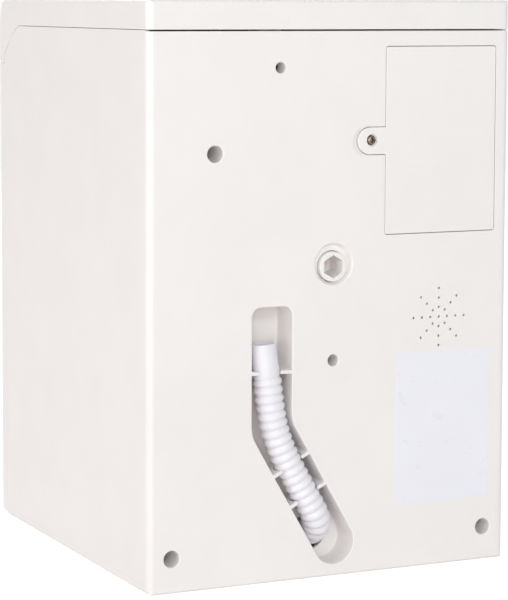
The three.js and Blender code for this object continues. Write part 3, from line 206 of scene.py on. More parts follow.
def make_floor():
    """A flat sheet under the toy, which isn't part of the toy."""
    mesh = bpy.data.meshes.new("floor")
    corners = [(-1, -1), (1, -1), (1, 1), (-1, 1)]
    mesh.from_pydata([(a * FLOOR_HALF, b * FLOOR_HALF, 0) for a, b in corners], [], [(0, 1, 2, 3)])
    floor = into_scene("floor", mesh)
    material = bpy.data.materials.new("white floor")
    material.use_nodes = True
    tree = material.node_tree
    tree.nodes.clear()
    sheet = add_node(tree, "BsdfDiffuse", Color=FLOOR_WHITE)
    strength = add_node(tree, "MapRange", Value=seen_rays(tree), To_Max=FLOOR_GLOW)
    glow = add_node(tree, "Emission", Strength=strength.outputs["Result"])
    both = add_node(tree, "AddShader")
    tree.links.new(sheet.outputs[0], both.inputs[0])
    tree.links.new(glow.outputs[0], both.inputs[1])
    add_node(tree, "OutputMaterial", Surface=both.outputs[0])
    floor.data.materials.append(material)


make_floor()

# %% [markdown]
# Five soft lamps shape the toy. The key lamp hangs high behind the camera, small and a little cool,
# so the top of the hose recess throws a clear and slightly warm shadow down its floor, as in the
# photograph. A warm soft box shines from the camera's own side and reaches into the recess wherever
# the camera sees. Two lamps light the side, and the last keeps the front from going dull.

# %% Soft lamps
WHITE = (1.0, 1.0, 1.0)
COOL = (0.7, 1.0, 1.0)
WARM = (1.0, 0.89, 0.885)
LAMPS = [
    ("key lamp", (0.35, 1.75, 0.95), (0, 0.05, 0.13), 0.2, 4.9, COOL),
    ("soft box", (0.82, 1.7, 0.3), (0, 0.1, 0.12), 0.6, 7.6, WARM),
    ("side box", (1.6, 1.1, 0.35), (0, 0.08, 0.12), 0.8, 3.6, WHITE),
    ("corner lamp", (1.9, 0.45, 0.2), (0.05, 0, 0.12), 0.8, 6.0, WHITE),
    ("front lamp", (-0.5, -1.8, 1.2), (0, 0, 0.13), 1.2, 11.0, WHITE),
]


def make_lamp(name, place, aim, size, power, colour):
    """A square soft lamp that faces one point."""
    data = bpy.data.lights.new(name, "AREA")
    data.shape = "SQUARE"
    data.size = size
    data.energy = power
    data.color = colour
    lamp = into_scene(name, data)
    lamp.location = place
    lamp.rotation_euler = (Vector(aim) - Vector(place)).to_track_quat("-Z", "Y").to_euler()


for lamp in LAMPS:
    make_lamp(*lamp)
print(len(LAMPS), "lamps")

# %% [markdown]
# ## Finishes
# Moulded plastic is never one flat colour. The melt flows unevenly, so its tone drifts a little,
# and the mould's spark-eroded skin leaves a fine grain that breaks up reflections. Each finish
# here has three layers of noise: slow drift in colour, change in gloss, and grain as a bump. All
# three are drawn in the piece's own space, so they stay put when a piece moves.

# %% A maker of finishes
NOISE_PER_MM = 1000.0


def noise(tree, size_mm, detail, stretch):
    """Noise whose spots are about size_mm wide, drawn out along an axis where stretch is below 1."""
    place = add_node(tree, "TexCoord")
    mapping = add_node(tree, "Mapping", Vector=place.outputs["Object"], Scale=stretch)
    spots = add_node(
        tree, "TexNoise", Vector=mapping.outputs[0], Scale=NOISE_PER_MM / size_mm, Detail=detail)
    return spots.outputs["Fac"]


def linear(colour):
    """A colour written in 0 to 255 steps, as the shader's linear values."""
    def channel(value):
        part = value / 255
        return part / 12.92 if part <= 0.04045 else ((part + 0.055) / 1.055) ** 2.4
    return (*[channel(value) for value in colour], 1)


def make_finish(name, colour, drift, gloss, grain_mm, grain_depth, patch_mm=28,
                stretch=(1, 1, 1), **sockets):
    """A Principled finish: two near colours, two near gloss levels and a grain."""
    material = bpy.data.materials.new(name)
    material.use_nodes = True
    tree = material.node_tree
    tone = add_node(tree, "ValToRGB", Fac=noise(tree, patch_mm, 3, stretch))
    tones = ((0.36, [value - drift for value in colour]), (0.64, colour))
    for element, (position, shade) in zip(tone.color_ramp.elements, tones):
        element.position = position
        element.color = linear(shade)
    shine = add_node(tree, "MapRange", Value=noise(tree, patch_mm / 5, 4, stretch),
                     To_Min=gloss[0], To_Max=gloss[1])
    bump = add_node(tree, "Bump", Height=noise(tree, grain_mm, 2, stretch), Strength=0.5,
                    Distance=grain_depth * MM)
    wire(tree, tree.nodes["Principled BSDF"], Base_Color=tone.outputs["Color"],
         Roughness=shine.outputs["Result"], Normal=bump.outputs["Normal"], **sockets)
    return material


# %% [markdown]
# The colours follow the photograph. The case is a warm white with a satin skin. The hose is a
# cooler white and softer to the touch, so a little light travels inside it. The inner pieces,
# which the photograph doesn't show, get the finishes that such toys have.

# %% The finishes of this toy
FINISHES = {
    "case_white": make_finish("satin white case", (247, 243, 241), 2, (0.3, 0.4), 0.6, 0.012),
    "hose_white": make_finish(
        "soft white hose", (246, 243, 250), 3, (0.34, 0.46), 0.9, 0.01,
        Subsurface_Weight=0.45, Subsurface_Radius=(0.003, 0.003, 0.003), Subsurface_Scale=0.8),
    "grey_plastic": make_finish("light grey plastic", (186, 189, 193), 4, (0.32, 0.44), 0.7, 0.015),
    "drum_silver": make_finish(
        "silver drum", (196, 199, 203), 8, (0.22, 0.34), 1.2, 0.01, stretch=(1, 0.12, 1), Metallic=0.9),
    "clear_plastic": make_finish(
        "clear plastic", (240, 246, 249), 2, (0.02, 0.05), 6, 0.004,
        Transmission_Weight=1.0, IOR=1.49),
    "seal_rubber": make_finish("grey rubber", (112, 116, 121), 8, (0.6, 0.75), 0.8, 0.03),
    "dark_plastic": make_finish("dark plastic", (58, 62, 68), 6, (0.45, 0.6), 0.8, 0.02),
    "gear_acetal": make_finish("acetal", (240, 236, 224), 4, (0.35, 0.45), 1.0, 0.01),
    "steel": make_finish(
        "zinc plated steel", (146, 134, 128), 30, (0.25, 0.42), 0.8, 0.012, patch_mm=3, Metallic=1.0),
    "brass": make_finish("brass", (206, 172, 96), 14, (0.26, 0.4), 1.0, 0.01, patch_mm=6, Metallic=1.0),
    "board_green": make_finish("circuit board", (46, 104, 68), 8, (0.3, 0.5), 1.4, 0.02, patch_mm=9),
    "cell_jacket": make_finish("cell jacket", (74, 88, 100), 6, (0.22, 0.32), 2.0, 0.008),
}
LABEL_WHITE = make_finish("glossy paper label", (244, 243, 250), 1, (0.25, 0.32), 1.5, 0.004)
print(len(FINISHES) + 1, "finishes")

# %% [markdown]
# Every piece of the frame gets its finish, whether or not a finer piece will stand for it later.
# The frame's own meshes are faceted. Smoothing the shallow angles between facets, and leaving the
# steep ones sharp, makes a turned part look round and a gear tooth look crisp.

# %% Finishes on the frame's own pieces
SMOOTH_ANGLE = math.radians(34)
slot_of = {row["node"]: row["material_slot"] for row in frame["record"]["subparts"]}


def smooth_shallow(piece):
    """Shades shallow angles round and keeps steep ones sharp."""
    for polygon in piece.data.polygons:
        polygon.use_smooth = True
    split = piece.modifiers.new("Sharp edges", "EDGE_SPLIT")
    split.split_angle = SMOOTH_ANGLE


for name, node in frame["nodes"].items():
    node.data.materials.clear()
    node.data.materials.append(FINISHES[slot_of[name]])
    if node.data.has_custom_normals:
        node.data.attributes.remove(node.data.attributes["custom_normal"])
    weld = node.modifiers.new("Joined facets", "WELD")
    weld.merge_threshold = 0.005 * MM
    smooth_shallow(node)
print("finished", len(frame["nodes"]), "pieces of the frame")

# %% [markdown]
# ## Shapes from outlines
# Almost everything on the toy is an outline pushed through a depth: the case, the recess, the
# battery cover. A stack of outlines can also grow or shrink on the way, and that is how a mould's
# round lips and fillets are made here: as real faces that catch the light, with no trick of shading.

# %% Outlines
ARC_STEPS = 8


def arc(centre, radius, start, stop, steps=ARC_STEPS, squash=1.0):
    """Points on an arc from start to stop in degrees, both ends included."""
    points = []
    for i in range(steps + 1):
        angle = math.radians(start + (stop - start) * i / steps)
        points.append((
            centre[0] + radius * math.cos(angle),
            centre[1] + radius * squash * math.sin(angle),
        ))
    return points


def circle(a, b, radius, sides=64):
    """A circle that shrinks by an inset."""
    return lambda inset: arc((a, b), radius - inset, 0, 360 - 360 / sides, sides - 1)


def rounded(a0, a1, b0, b1, low_r, high_r=None, steps=6):
    """A rectangle with round corners, low_r on its low side and high_r on its high side."""
    high_r = low_r if high_r is None else high_r

    def outline(inset):
        low, high = max(low_r - inset, 0.05), max(high_r - inset, 0.05)
        left, right, bottom, top = a0 + inset, a1 - inset, b0 + inset, b1 - inset
        return [
            *arc((right - low, bottom + low), low, -90, 0, steps),
            *arc((right - high, top - high), high, 0, 90, steps),
            *arc((left + high, top - high), high, 90, 180, steps),
            *arc((left + low, bottom + low), low, 180, 270, steps),
        ]
    return outline


def curve_through(p0, p1, p2, steps=ARC_STEPS):
    """A bend from p0 to p2 that leans towards p1."""
    points = []
    for i in range(steps + 1):
        t = i / steps
        points.append(tuple(
            (1 - t) ** 2 * a + 2 * t * (1 - t) * b + t ** 2 * c for a, b, c in zip(p0, p1, p2)))
    return points


def fixed(points):
    """An outline that stays the same at every inset."""
    return lambda inset: points


# %% [markdown]
# An outline is flat, so something has to say where its plane lies in the toy. These small functions
# do that, for outlines seen from behind, from the front, from the side and from above, and for those
# on the slanted fascia that carries the controls.

# %% Where an outline lies
FASCIA_LOW = (-95.0, 231.1)
FASCIA_HIGH = (-87.1, 256.0)
FASCIA_MID = ((FASCIA_LOW[0] + FASCIA_HIGH[0]) / 2, (FASCIA_LOW[1] + FASCIA_HIGH[1]) / 2)
FASCIA_ANGLE = math.atan2(FASCIA_HIGH[1] - FASCIA_LOW[1], FASCIA_HIGH[0] - FASCIA_LOW[0])


def from_behind(a, b, level):
    """Outline as (x, z), pushed along y."""
    return (a, level, b)


def from_front(a, b, level):
    """Outline as (x, z), pushed towards the front."""
    return (a, -level, b)


def from_side(a, b, level):
    """Outline as (y, z), pushed along x."""
    return (level, a, b)


def from_above(a, b, level):
    """Outline as (x, y), pushed along z."""
    return (a, b, level)


def on_fascia(a, b, level):
    """Outline as (across, up the slope), pushed out of the fascia."""
    return (
        a,
        FASCIA_MID[0] + b * math.cos(FASCIA_ANGLE) - level * math.sin(FASCIA_ANGLE),
        FASCIA_MID[1] + b * math.sin(FASCIA_ANGLE) + level * math.cos(FASCIA_ANGLE),
    )


print("the fascia leans", round(90 - math.degrees(FASCIA_ANGLE), 1), "degrees from upright")

# %% [markdown]
# A skin is a grid of rings. Closed at both ends with a flat face it is a block, and closed on
# itself it is a tube wall or a ring. A round part is a profile turned about an axis. With these
# two makers nearly every solid below is one call.

# %% Solids
def edit(mesh, work):
    """Opens a mesh, does the work on it, and closes it with what the work found."""
    build = bmesh.new()
    build.from_mesh(mesh)
    found = work(build)
    build.to_mesh(mesh)
    build.free()
    return found


def mesh_object(name, points, faces):
    """A mesh in the scene from points in the toy's millimetres, its faces turned outwards."""
    mesh = bpy.data.meshes.new(name)
    mesh.from_pydata([metres(point) for point in points], [], faces)
    edit(mesh, lambda build: bmesh.ops.recalc_face_normals(build, faces=build.faces))
    return into_scene(name, mesh)


def skin(name, rings, joined=False):
    """A solid through rings with the same number of points; joined closes it on itself."""
    count = len(rings[0])
    points = [point for ring in rings for point in ring]
    faces = []
    for row in range(len(rings) if joined else len(rings) - 1):
        here, there = row * count, (row + 1) % len(rings) * count
        for i in range(count):
            j = (i + 1) % count
            faces.append((here + i, here + j, there + j, there + i))
    if not joined:
        faces += [tuple(range(count)), tuple(range(len(points) - count, len(points)))]
    return mesh_object(name, points, faces)


def hoop(centre, radius, across, over, sides):
    """A round ring of points, in the plane of two directions."""
    turns = [2 * math.pi * i / sides for i in range(sides)]
    return [centre + radius * (math.cos(t) * across + math.sin(t) * over) for t in turns]


def stack(name, outline, levels, place=from_behind):
    """A solid from one outline at (inset, level) pairs."""
    return skin(name, [[place(a, b, level) for a, b in outline(inset)] for inset, level in levels])


def span(low, high):
    """Levels of a straight solid."""
    return [(0, low), (0, high)]


def rod(name, a, b, radius, low, high, sides=64, place=from_behind):
    """A straight round solid at (a, b)."""
    return stack(name, circle(a, b, radius, sides), span(low, high), place)


def block(name, low, high):
    """A plain block between two corners, for joining and cutting."""
    return stack(name, rounded(low[0], high[0], low[2], high[2], 0.05, steps=1), span(low[1], high[1]))


def turned(name, profile, centre=(0, 0, 0), sides=96, axis="Y"):
    """A profile of (radius, along) turned about an axis; it starts and ends on it, or joins itself."""
    on_axis = profile[0][0] == 0
    points, rows = [], []
    for radius, along in profile:
        turns = 1 if radius == 0 else sides
        rows.append(range(len(points), len(points) + turns))
        for i in range(turns):
            angle = 2 * math.pi * i / sides
            across, up = radius * math.cos(angle), radius * math.sin(angle)
            local = {"X": (along, across, up), "Y": (across, along, up), "Z": (across, up, along)}
            points.append(Vector(local[axis]) + Vector(centre))
    faces = []
    for row in range(len(rows) - 1 if on_axis else len(rows)):
        here, there = rows[row], rows[(row + 1) % len(rows)]
        for i in range(sides):
            j = (i + 1) % sides
            corners = [here[i % len(here)], here[j % len(here)],
                       there[j % len(there)], there[i % len(there)]]
            faces.append(tuple(dict.fromkeys(corners)))
    return mesh_object(name, points, faces)


# %% [markdown]
# Moulded edges are never sharp. A pocket cut into a wall has a round lip at its mouth and a small
# fillet at its floor, and a plate has a round rim. These lists of (inset, level) pairs describe
# both, for the stacks above.

# %% Lips, fillets and rims
LIP_STEPS = 5
QUARTER = [math.radians(90 * i / LIP_STEPS) for i in range(LIP_STEPS + 1)]


def round_start(radius, low):
    """Levels that round off a low end, or its one level where the radius is 0."""
    if not radius:
        return [(0, low)]
    return [(radius * (1 - math.sin(t)), low + radius * (1 - math.cos(t))) for t in QUARTER]


def round_stop(radius, high, way=1):
    """Levels that round off a high end, inwards, or outwards where way is -1."""
    return [(way * radius * (1 - math.cos(t)), high - radius + radius * math.sin(t)) for t in QUARTER]


def pocket(floor, mouth, lip, fillet=0.0):
    """Levels of a cutting tool that opens at mouth with a round lip."""
    return [*round_start(fillet, floor), *round_stop(lip, mouth, -1), (-lip, mouth + 1.5)]


def plate(low, high, rim, back_rim=0.0):
    """Levels of a plate with a round rim on its high face, and one on its low face if asked."""
    return [*round_start(back_rim, low), *round_stop(rim, high)]


# %% [markdown]
# Openings are cut with Boolean modifiers. The Manifold solver is fast and keeps flat faces whole,
# as long as each tool is a closed solid. The result is baked at once, so that the tools can go.
# Then a narrow bevel takes the edge off whatever the cuts left sharp, and weighted normals keep
# the large flat faces flat in the light beside their small round neighbours.

# %% Joining, cutting and softening
SHARP_ANGLE = math.radians(42)


def bake(piece):
    """Turns the piece's modifiers into its mesh."""
    bpy.context.view_layer.update()
    shape = bpy.data.meshes.new_from_object(
        piece.evaluated_get(bpy.context.evaluated_depsgraph_get()))
    piece.modifiers.clear()
    piece.data = shape
    piece.data.name = piece.name


def combine(body, operation, *tools):
    """Joins, cuts or overlaps the body with each tool in turn."""
    for tool in tools:
        step = body.modifiers.new("Step", "BOOLEAN")
        step.operation = operation
        step.solver = "MANIFOLD"
        step.object = tool
    bake(body)
    for tool in tools:
        bpy.data.objects.remove(tool)
    return body


def join(body, *tools):
    return combine(body, "UNION", *tools)


def cut(body, *tools):
    return combine(body, "DIFFERENCE", *tools)


def overlap(body, *tools):
    return combine(body, "INTERSECT", *tools)


def split_large_faces(piece):
    """Cuts faces with many corners into triangles, so that a bevel can't fold them."""
    edit(piece.data, lambda build: bmesh.ops.triangulate(
        build, faces=[face for face in build.faces if len(face.verts) > 4]))


def soften(piece, width, angle=35):
    """A narrow round edge wherever two faces still meet sharply."""
    split_large_faces(piece)
    bevel = piece.modifiers.new("Soft edges", "BEVEL")
    bevel.width = width * MM
    bevel.segments = 2
    bevel.limit_method = "ANGLE"
    bevel.angle_limit = math.radians(angle)
    bevel.use_clamp_overlap = False
    bake(piece)
    return piece


def mark_sharp_edges(piece):
    """Marks the edges that stay crisp in the shading, and counts the open ones."""
    def work(build):
        for face in build.faces:
            face.smooth = True
        for edge in build.edges:
            edge.smooth = not edge.is_manifold or edge.calc_face_angle() < SHARP_ANGLE
        return sum(1 for edge in build.edges if not edge.is_manifold)
    return edit(piece.data, work)


def settle(piece, body, slot, *nodes, finish=None):
    """Gives a piece its finish, its body and the nodes of the frame that it stands for."""
    piece.data.materials.clear()
    piece.data.materials.append(finish or FINISHES[slot])
    open_edges = mark_sharp_edges(piece)
    flat = piece.modifiers.new("Flat stays flat", "WEIGHTED_NORMAL")
    flat.keep_sharp = True
    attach(piece, body)
    if nodes:
        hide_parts(*nodes)
    print(piece.name, len(piece.data.polygons), "faces,", open_edges, "open edges")
    return piece


# %% [markdown]
# ## The case
# Seen from the side the case is a box with a slanted control fascia, a rounded top edge and a
# raked toe. Seen from above its back corners are tight and its front corners soft. The block that
# has all three views at once is found by overlapping three pushed outlines, and a smaller block
# inside it makes the wall.

# %% Case block
SEAM_Z = 247.0
PANEL_TOP_Z = 228.2
PANEL_RETURN_Y = -82.3
REAR_CORNER_R = 3.5
FRONT_CORNER_R = 8.0
TOP_EDGE_R = 2.0
BOTTOM_EDGE_R = 1.5
BOTTOM_CORNER_R = 2.8
TOE_LENGTH = 20.0
TOE_HEIGHT = 6.0
CHEEK = [(-61.8, SEAM_Z), (-71.6, 242.8), (-83.0, 233.0)]
FAR = 200.0


def side_view(inset):
    """The case seen from the side, as (y, z)."""
    foot, top, back = BOTTOM_EDGE_R, HEIGHT - inset, BACK - inset
    crest = FASCIA_HIGH[0] + inset
    return [
        *arc((back - foot, inset + foot), foot, -90, 0),
        *arc((back - TOP_EDGE_R, top - TOP_EDGE_R), TOP_EDGE_R, 0, 90),
        *curve_through(
            (crest + 7.5, top), (crest + 2, top),
            (FASCIA_HIGH[0] + 1.05 * inset, FASCIA_HIGH[1] - 0.3 * inset)),
        (FASCIA_LOW[0] + 1.05 * inset, FASCIA_LOW[1] - 0.1 + 0.1 * inset),
        (FRONT + 0.8 + inset, PANEL_TOP_Z + GAP + inset),
        (FRONT + inset, PANEL_TOP_Z + GAP - 0.02 + inset),
        *arc((FRONT + TOE_LENGTH, TOE_HEIGHT + inset), TOE_LENGTH - inset, 180, 270,
             squash=TOE_HEIGHT / (TOE_LENGTH - inset)),
    ]


def case_block(name, inset):
    """The block of the case, or of the hollow in it."""
    width = HALF - inset
    side = stack(name, fixed(side_view(inset)), span(-width, width), from_side)
    plan = rounded(
        -width, width, FASCIA_LOW[0] - 0.5 + inset, BACK - inset,
        FRONT_CORNER_R - inset, max(REAR_CORNER_R - inset, 1), steps=ARC_STEPS)
    face = rounded(
        -width, width, inset, HEIGHT - inset, BOTTOM_CORNER_R, TOP_EDGE_R, steps=ARC_STEPS)
    return overlap(
        side, stack("plan", plan, span(-1, HEIGHT + 1), from_above),
        stack("face", face, span(FRONT - 10, BACK + 1)))


def shell_zone(name, zone):
    """The part of the case's wall that lies in a zone drawn from the side."""
    shell = cut(case_block(name, 0), case_block("hollow", WALL))
    return overlap(shell, stack("zone", fixed(zone), span(-FAR, FAR), from_side))


SIDE_SEAM = 0.2
BACK_SEAM = 0.7
REAR_ZONE = [
    (FAR, -FAR), (PANEL_RETURN_Y, -FAR), (PANEL_RETURN_Y, CHEEK[2][1] - SIDE_SEAM),
    (CHEEK[1][0], CHEEK[1][1] - SIDE_SEAM), (CHEEK[0][0], SEAM_Z - SIDE_SEAM),
    (BACK - 3.6, SEAM_Z - SIDE_SEAM), (BACK - 3.2, SEAM_Z - BACK_SEAM), (FAR, SEAM_Z - BACK_SEAM),
]
rear = shell_zone("rear_shell", REAR_ZONE)
print("rear wall", len(rear.data.polygons), "faces before its details")

# %% [markdown]
# ## Hose recess
# The recess runs straight down, bends by thirty degrees and ends in a half circle. The pan that
# is moulded behind it follows the same outline. Three pairs of clip plates stand across it, each
# with a snap mouth and a round seat for the hose, so the cutting tool has those plates taken out.

# %% Recess outline
RECESS_HALF = 9.9
RECESS_FLOOR_Y = BACK - 15.6
RECESS_TOP = (30.4, 124.4)
RECESS_TOP_R = 4.5
RECESS_BEND = (30.4, 69.9)
RECESS_END = (-1.0, 15.5)
BEND_LENGTH = 3.5
RECESS_LIP = 0.55
RECESS_FILLET = 1.0


def recess_outline(inset):
    """The recess seen from behind."""
    half = RECESS_HALF - inset
    lean = math.atan2(RECESS_BEND[0] - RECESS_END[0], RECESS_BEND[1] - RECESS_END[1])
    along = (math.sin(lean), math.cos(lean))
    shift = half * math.tan(lean / 2)
    corner_r = RECESS_TOP_R - inset
    left, right, top = RECESS_TOP[0] - half, RECESS_TOP[0] + half, RECESS_TOP[1] - inset
    left_bend = (left, RECESS_BEND[1] + shift)
    right_bend = (right, RECESS_BEND[1] - shift)
    end_angle = -math.degrees(lean)
    return [
        *arc((left + corner_r, top - corner_r), corner_r, 180, 90),
        *arc((right - corner_r, top - corner_r), corner_r, 90, 0),
        *curve_through(
            (right, right_bend[1] + BEND_LENGTH), right_bend,
            (right - BEND_LENGTH * along[0], right_bend[1] - BEND_LENGTH * along[1])),
        *arc(RECESS_END, half, end_angle, end_angle - 180, 20),
        *curve_through(
            (left - BEND_LENGTH * along[0], left_bend[1] - BEND_LENGTH * along[1]), left_bend,
            (left, left_bend[1] + BEND_LENGTH)),
    ]


# %% Hose clips
HOSE_Y = BACK - 4.6
HOSE_R = 6.6
NOZZLE_R = 5.65
NOZZLE_BASE_R = 6.25
CLIP_THICK = 1.6
SEAT_PLAY = 0.45
CLIPS = [
    {"x": 31.2, "z": 95, "tilt": 0, "mouth": 9, "shift": 0.2, "hose_r": NOZZLE_BASE_R},
    {"x": 20.9, "z": 52.7, "tilt": 30, "mouth": 10, "shift": -0.6, "hose_r": HOSE_R},
    {"x": 12.8, "z": 38, "tilt": 30, "mouth": 10.3, "shift": -0.6, "hose_r": HOSE_R},
]


def seat_side(reach, seat_r):
    """How far round the seat goes on one side, and how wide its mouth is there at the back face."""
    wall, rim = math.acos(reach / seat_r), math.asin((BACK - HOSE_Y) / seat_r)
    if wall < rim:
        return math.degrees(wall), reach
    return math.degrees(rim), seat_r * math.cos(rim)


def clip_profile(mouth, shift, seat_r):
    """One clip plate seen along the hose: a wide plate with a round seat and a narrower mouth."""
    wide, floor = 12.0, RECESS_FLOOR_Y - 0.5
    right_end, right_reach = seat_side(mouth / 2 - shift, seat_r)
    left_end, left_reach = seat_side(mouth / 2 + shift, seat_r)
    return [
        (wide, floor), (wide, BACK), (shift + right_reach + 0.01, BACK),
        *arc((shift, HOSE_Y), seat_r, right_end, -180 - left_end, 28),
        (shift - left_reach - 0.01, BACK), (-wide, BACK), (-wide, floor),
    ]


def clip_plate(clip):
    """The plate of one pair of clips, in place across the recess."""
    tilt = math.radians(clip["tilt"])
    profile = clip_profile(clip["mouth"], clip["shift"], clip["hose_r"] + SEAT_PLAY)

    def place(a, b, level):
        return (
            clip["x"] + a * math.cos(tilt) + level * math.sin(tilt),
            b,
            clip["z"] - a * math.sin(tilt) + level * math.cos(tilt),
        )
    return stack("clip", fixed(profile), span(-CLIP_THICK / 2, CLIP_THICK / 2), place)


recess_tool = cut(
    stack("recess", recess_outline, pocket(RECESS_FLOOR_Y, BACK, RECESS_LIP, RECESS_FILLET)),
    *[clip_plate(clip) for clip in CLIPS])
print("recess tool", len(recess_tool.data.polygons), "faces")

# %% [markdown]
# ## Holes in the back
# Five screws sit deep in round wells. A well is moulded as a tube with a round lip, and its floor
# has a small hole for the screw's shank. The screws' places come from the frame. The loudspeaker
# behind the back has a star of small holes in front of it: eight arms of three, and one in the
# middle.

# %% Screw wells and speaker holes
WELL_WALL = 2.0
WELL_LIP = 0.6
WELL_FILLET = 0.4
WELL_TAPER = 0.3
SCREW_PLAY = 0.2
HEAD_HEIGHT = 0.7
HEAD_IN_WELL = 0.8
SCREW_WELLS = {
    "lower_screw_left": 4.0,
    "lower_screw_right": 4.0,
    "upper_screw": 4.0,
    "tub_screw": 2.9,
    "lid_screw": 2.7,
}
SPEAKER = {"x": -54.4, "z": 115.6, "r": 18.0, "hole_r": 0.6, "pitch": 4.4, "arms": 8, "rows": 3}


def middle(node):
    """Middle of a node of the frame, in the toy's millimetres."""
    low, high = toy_box(node)
    return (low + high) / 2


def head_seat(node, head_r):
    """Where the underside of a screw's head lies."""
    return toy_box(node)[1].y - HEAD_HEIGHT * head_r


def well_solids():
    """Tubes to join to the back, and bores to cut through them."""
    tubes, bores = [], []
    for node, radius in SCREW_WELLS.items():
        x, z = middle(node).x, middle(node).z
        floor = head_seat(node, HEAD_IN_WELL * radius) - SCREW_PLAY
        bore = circle(x, z, radius - WELL_TAPER, 48)
        tubes.append(rod("tube", x, z, radius + WELL_WALL, floor - 2, BACK - 1, 32))
        bores.append(stack("bore", bore, pocket(floor, BACK, WELL_LIP, WELL_FILLET)))
        bores.append(rod("shank hole", x, z, 0.45 * radius, floor - 3, floor + 1, 20))
    return tubes, bores


def speaker_holes():
    """The star of holes, as one tool of many rods."""
    places = [(SPEAKER["x"], SPEAKER["z"])]
    for arm in range(SPEAKER["arms"]):
        angle = 2 * math.pi * arm / SPEAKER["arms"]
        for row in range(1, SPEAKER["rows"] + 1):
            reach = row * SPEAKER["pitch"]
            places.append((
                SPEAKER["x"] + reach * math.cos(angle), SPEAKER["z"] + reach * math.sin(angle)))
    levels = pocket(BACK - 4, BACK, 0.15)
    return [stack("hole", circle(x, z, SPEAKER["hole_r"], 16), levels) for x, z in places]


well_tubes, well_bores = well_solids()
print(len(well_tubes), "wells and", SPEAKER["arms"] * SPEAKER["rows"] + 1, "speaker holes")

# %% [markdown]
# ## Battery opening
# The battery cover lies flush in a shallow pocket of its own outline. A ledge carries it, two
# notches on the far side take its tongues, and a shallow dish beside the screw tab gives a
# fingertip room to lift it.

# %% Battery opening
COVER = {"x0": -83.0, "x1": -26.0, "z0": 154.6, "z1": 239.2, "thick": 2.1, "corner_r": 1.0}
TAB = {"x1": -12.0, "z0": 190.9, "z1": 203.1}
LEDGE_Y = BACK - COVER["thick"] - GAP
LEDGE_THICK = 2.6
LEDGE_IN = 2.0
TONGUE_Z = [175.0, 218.8]
DISH = {"x": -16.5, "z": 196.6, "r": 7.6, "depth": 1.9}
cover_screw = middle("battery_cover_screw")


def cover_outline(inset):
    """The cover with its round-ended tab, seen from behind."""
    r = max(COVER["corner_r"] - inset, 0.1)
    x0, x1 = COVER["x0"] + inset, COVER["x1"] - inset
    z0, z1 = COVER["z0"] + inset, COVER["z1"] - inset
    tab_r = (TAB["z1"] - TAB["z0"]) / 2
    tab_middle = (TAB["z1"] + TAB["z0"]) / 2
    return [
        *arc((x1 - r, z0 + r), r, -90, 0),
        (x1, tab_middle - tab_r + inset),
        *arc((TAB["x1"] - tab_r, tab_middle), tab_r - inset, -90, 90, 24),
        (x1, tab_middle + tab_r - inset),
        *arc((x1 - r, z1 - r), r, 0, 90),
        *arc((x0 + r, z1 - r), r, 90, 180),
        *arc((x0 + r, z0 + r), r, 180, 270),
    ]


def finger_dish():
    """A shallow round hollow, as the cap of a ball."""
    ball_r = (DISH["r"] ** 2 + DISH["depth"] ** 2) / (2 * DISH["depth"])
    profile = [(0, -ball_r), *arc((0, 0), ball_r, -84, 84, 42), (0, ball_r)]
    return turned("dish", profile, (DISH["x"], BACK + ball_r - DISH["depth"], DISH["z"]), 96)


def battery_solids():
    """The frame of wall round the opening, and what is cut from it."""
    around = block(
        "frame", (COVER["x0"] - 3, LEDGE_Y - LEDGE_THICK, COVER["z0"] - 3),
        (COVER["x1"] + 3, BACK - WALL + 0.1, COVER["z1"] + 3))
    pad = block("pad", (COVER["x1"] + 2.5, LEDGE_Y - 5, 187), (-9, BACK - WALL + 0.1, 207))
    opening = block(
        "opening", (COVER["x0"] + LEDGE_IN, LEDGE_Y - 6, COVER["z0"] + LEDGE_IN),
        (COVER["x1"] - LEDGE_IN, BACK, COVER["z1"] - LEDGE_IN))
    notches = [
        block("notch", (COVER["x0"] - 4, LEDGE_Y - LEDGE_THICK - 1, z - 5.5),
              (COVER["x0"] + 3, LEDGE_Y + 0.1, z + 5.5))
        for z in TONGUE_Z
    ]
    seat = stack(
        "seat", lambda inset: cover_outline(inset - GAP), pocket(LEDGE_Y, BACK, 0.2))
    screw_hole = rod("screw hole", cover_screw.x, cover_screw.z, 2.2, LEDGE_Y - 8, BACK, 32)
    return [around, pad], [opening, *notches, seat, screw_hole, finger_dish()]


battery_walls, battery_cuts = battery_solids()
print(len(battery_cuts), "cuts for the battery opening")

# %% [markdown]
# ## The back, put together
# The drum's axle ends in a shallow round well in the middle of the back. The well is a little above
# the axle and its wall is a soft flare, which is the crescent of shade over the axle in the
# photograph. All the tubes and frames are joined to the wall first, and then everything is cut.

# %% Rear shell
AXIS = middle("drum_shaft")
ON_AXIS = (0, 0, AXIS.z)
AXLE_END_R = 6.8
AXLE_WELL = {"r": 9.7, "floor_r": 8.5, "depth": 2.7, "rise": 1.2, "lip": 0.5}


def ring(name, inner, outer, low, high, x, z, sides=64):
    """A plain turned ring about y."""
    return turned(name, [(inner, low), (outer, low), (outer, high), (inner, high)], (x, 0, z), sides)


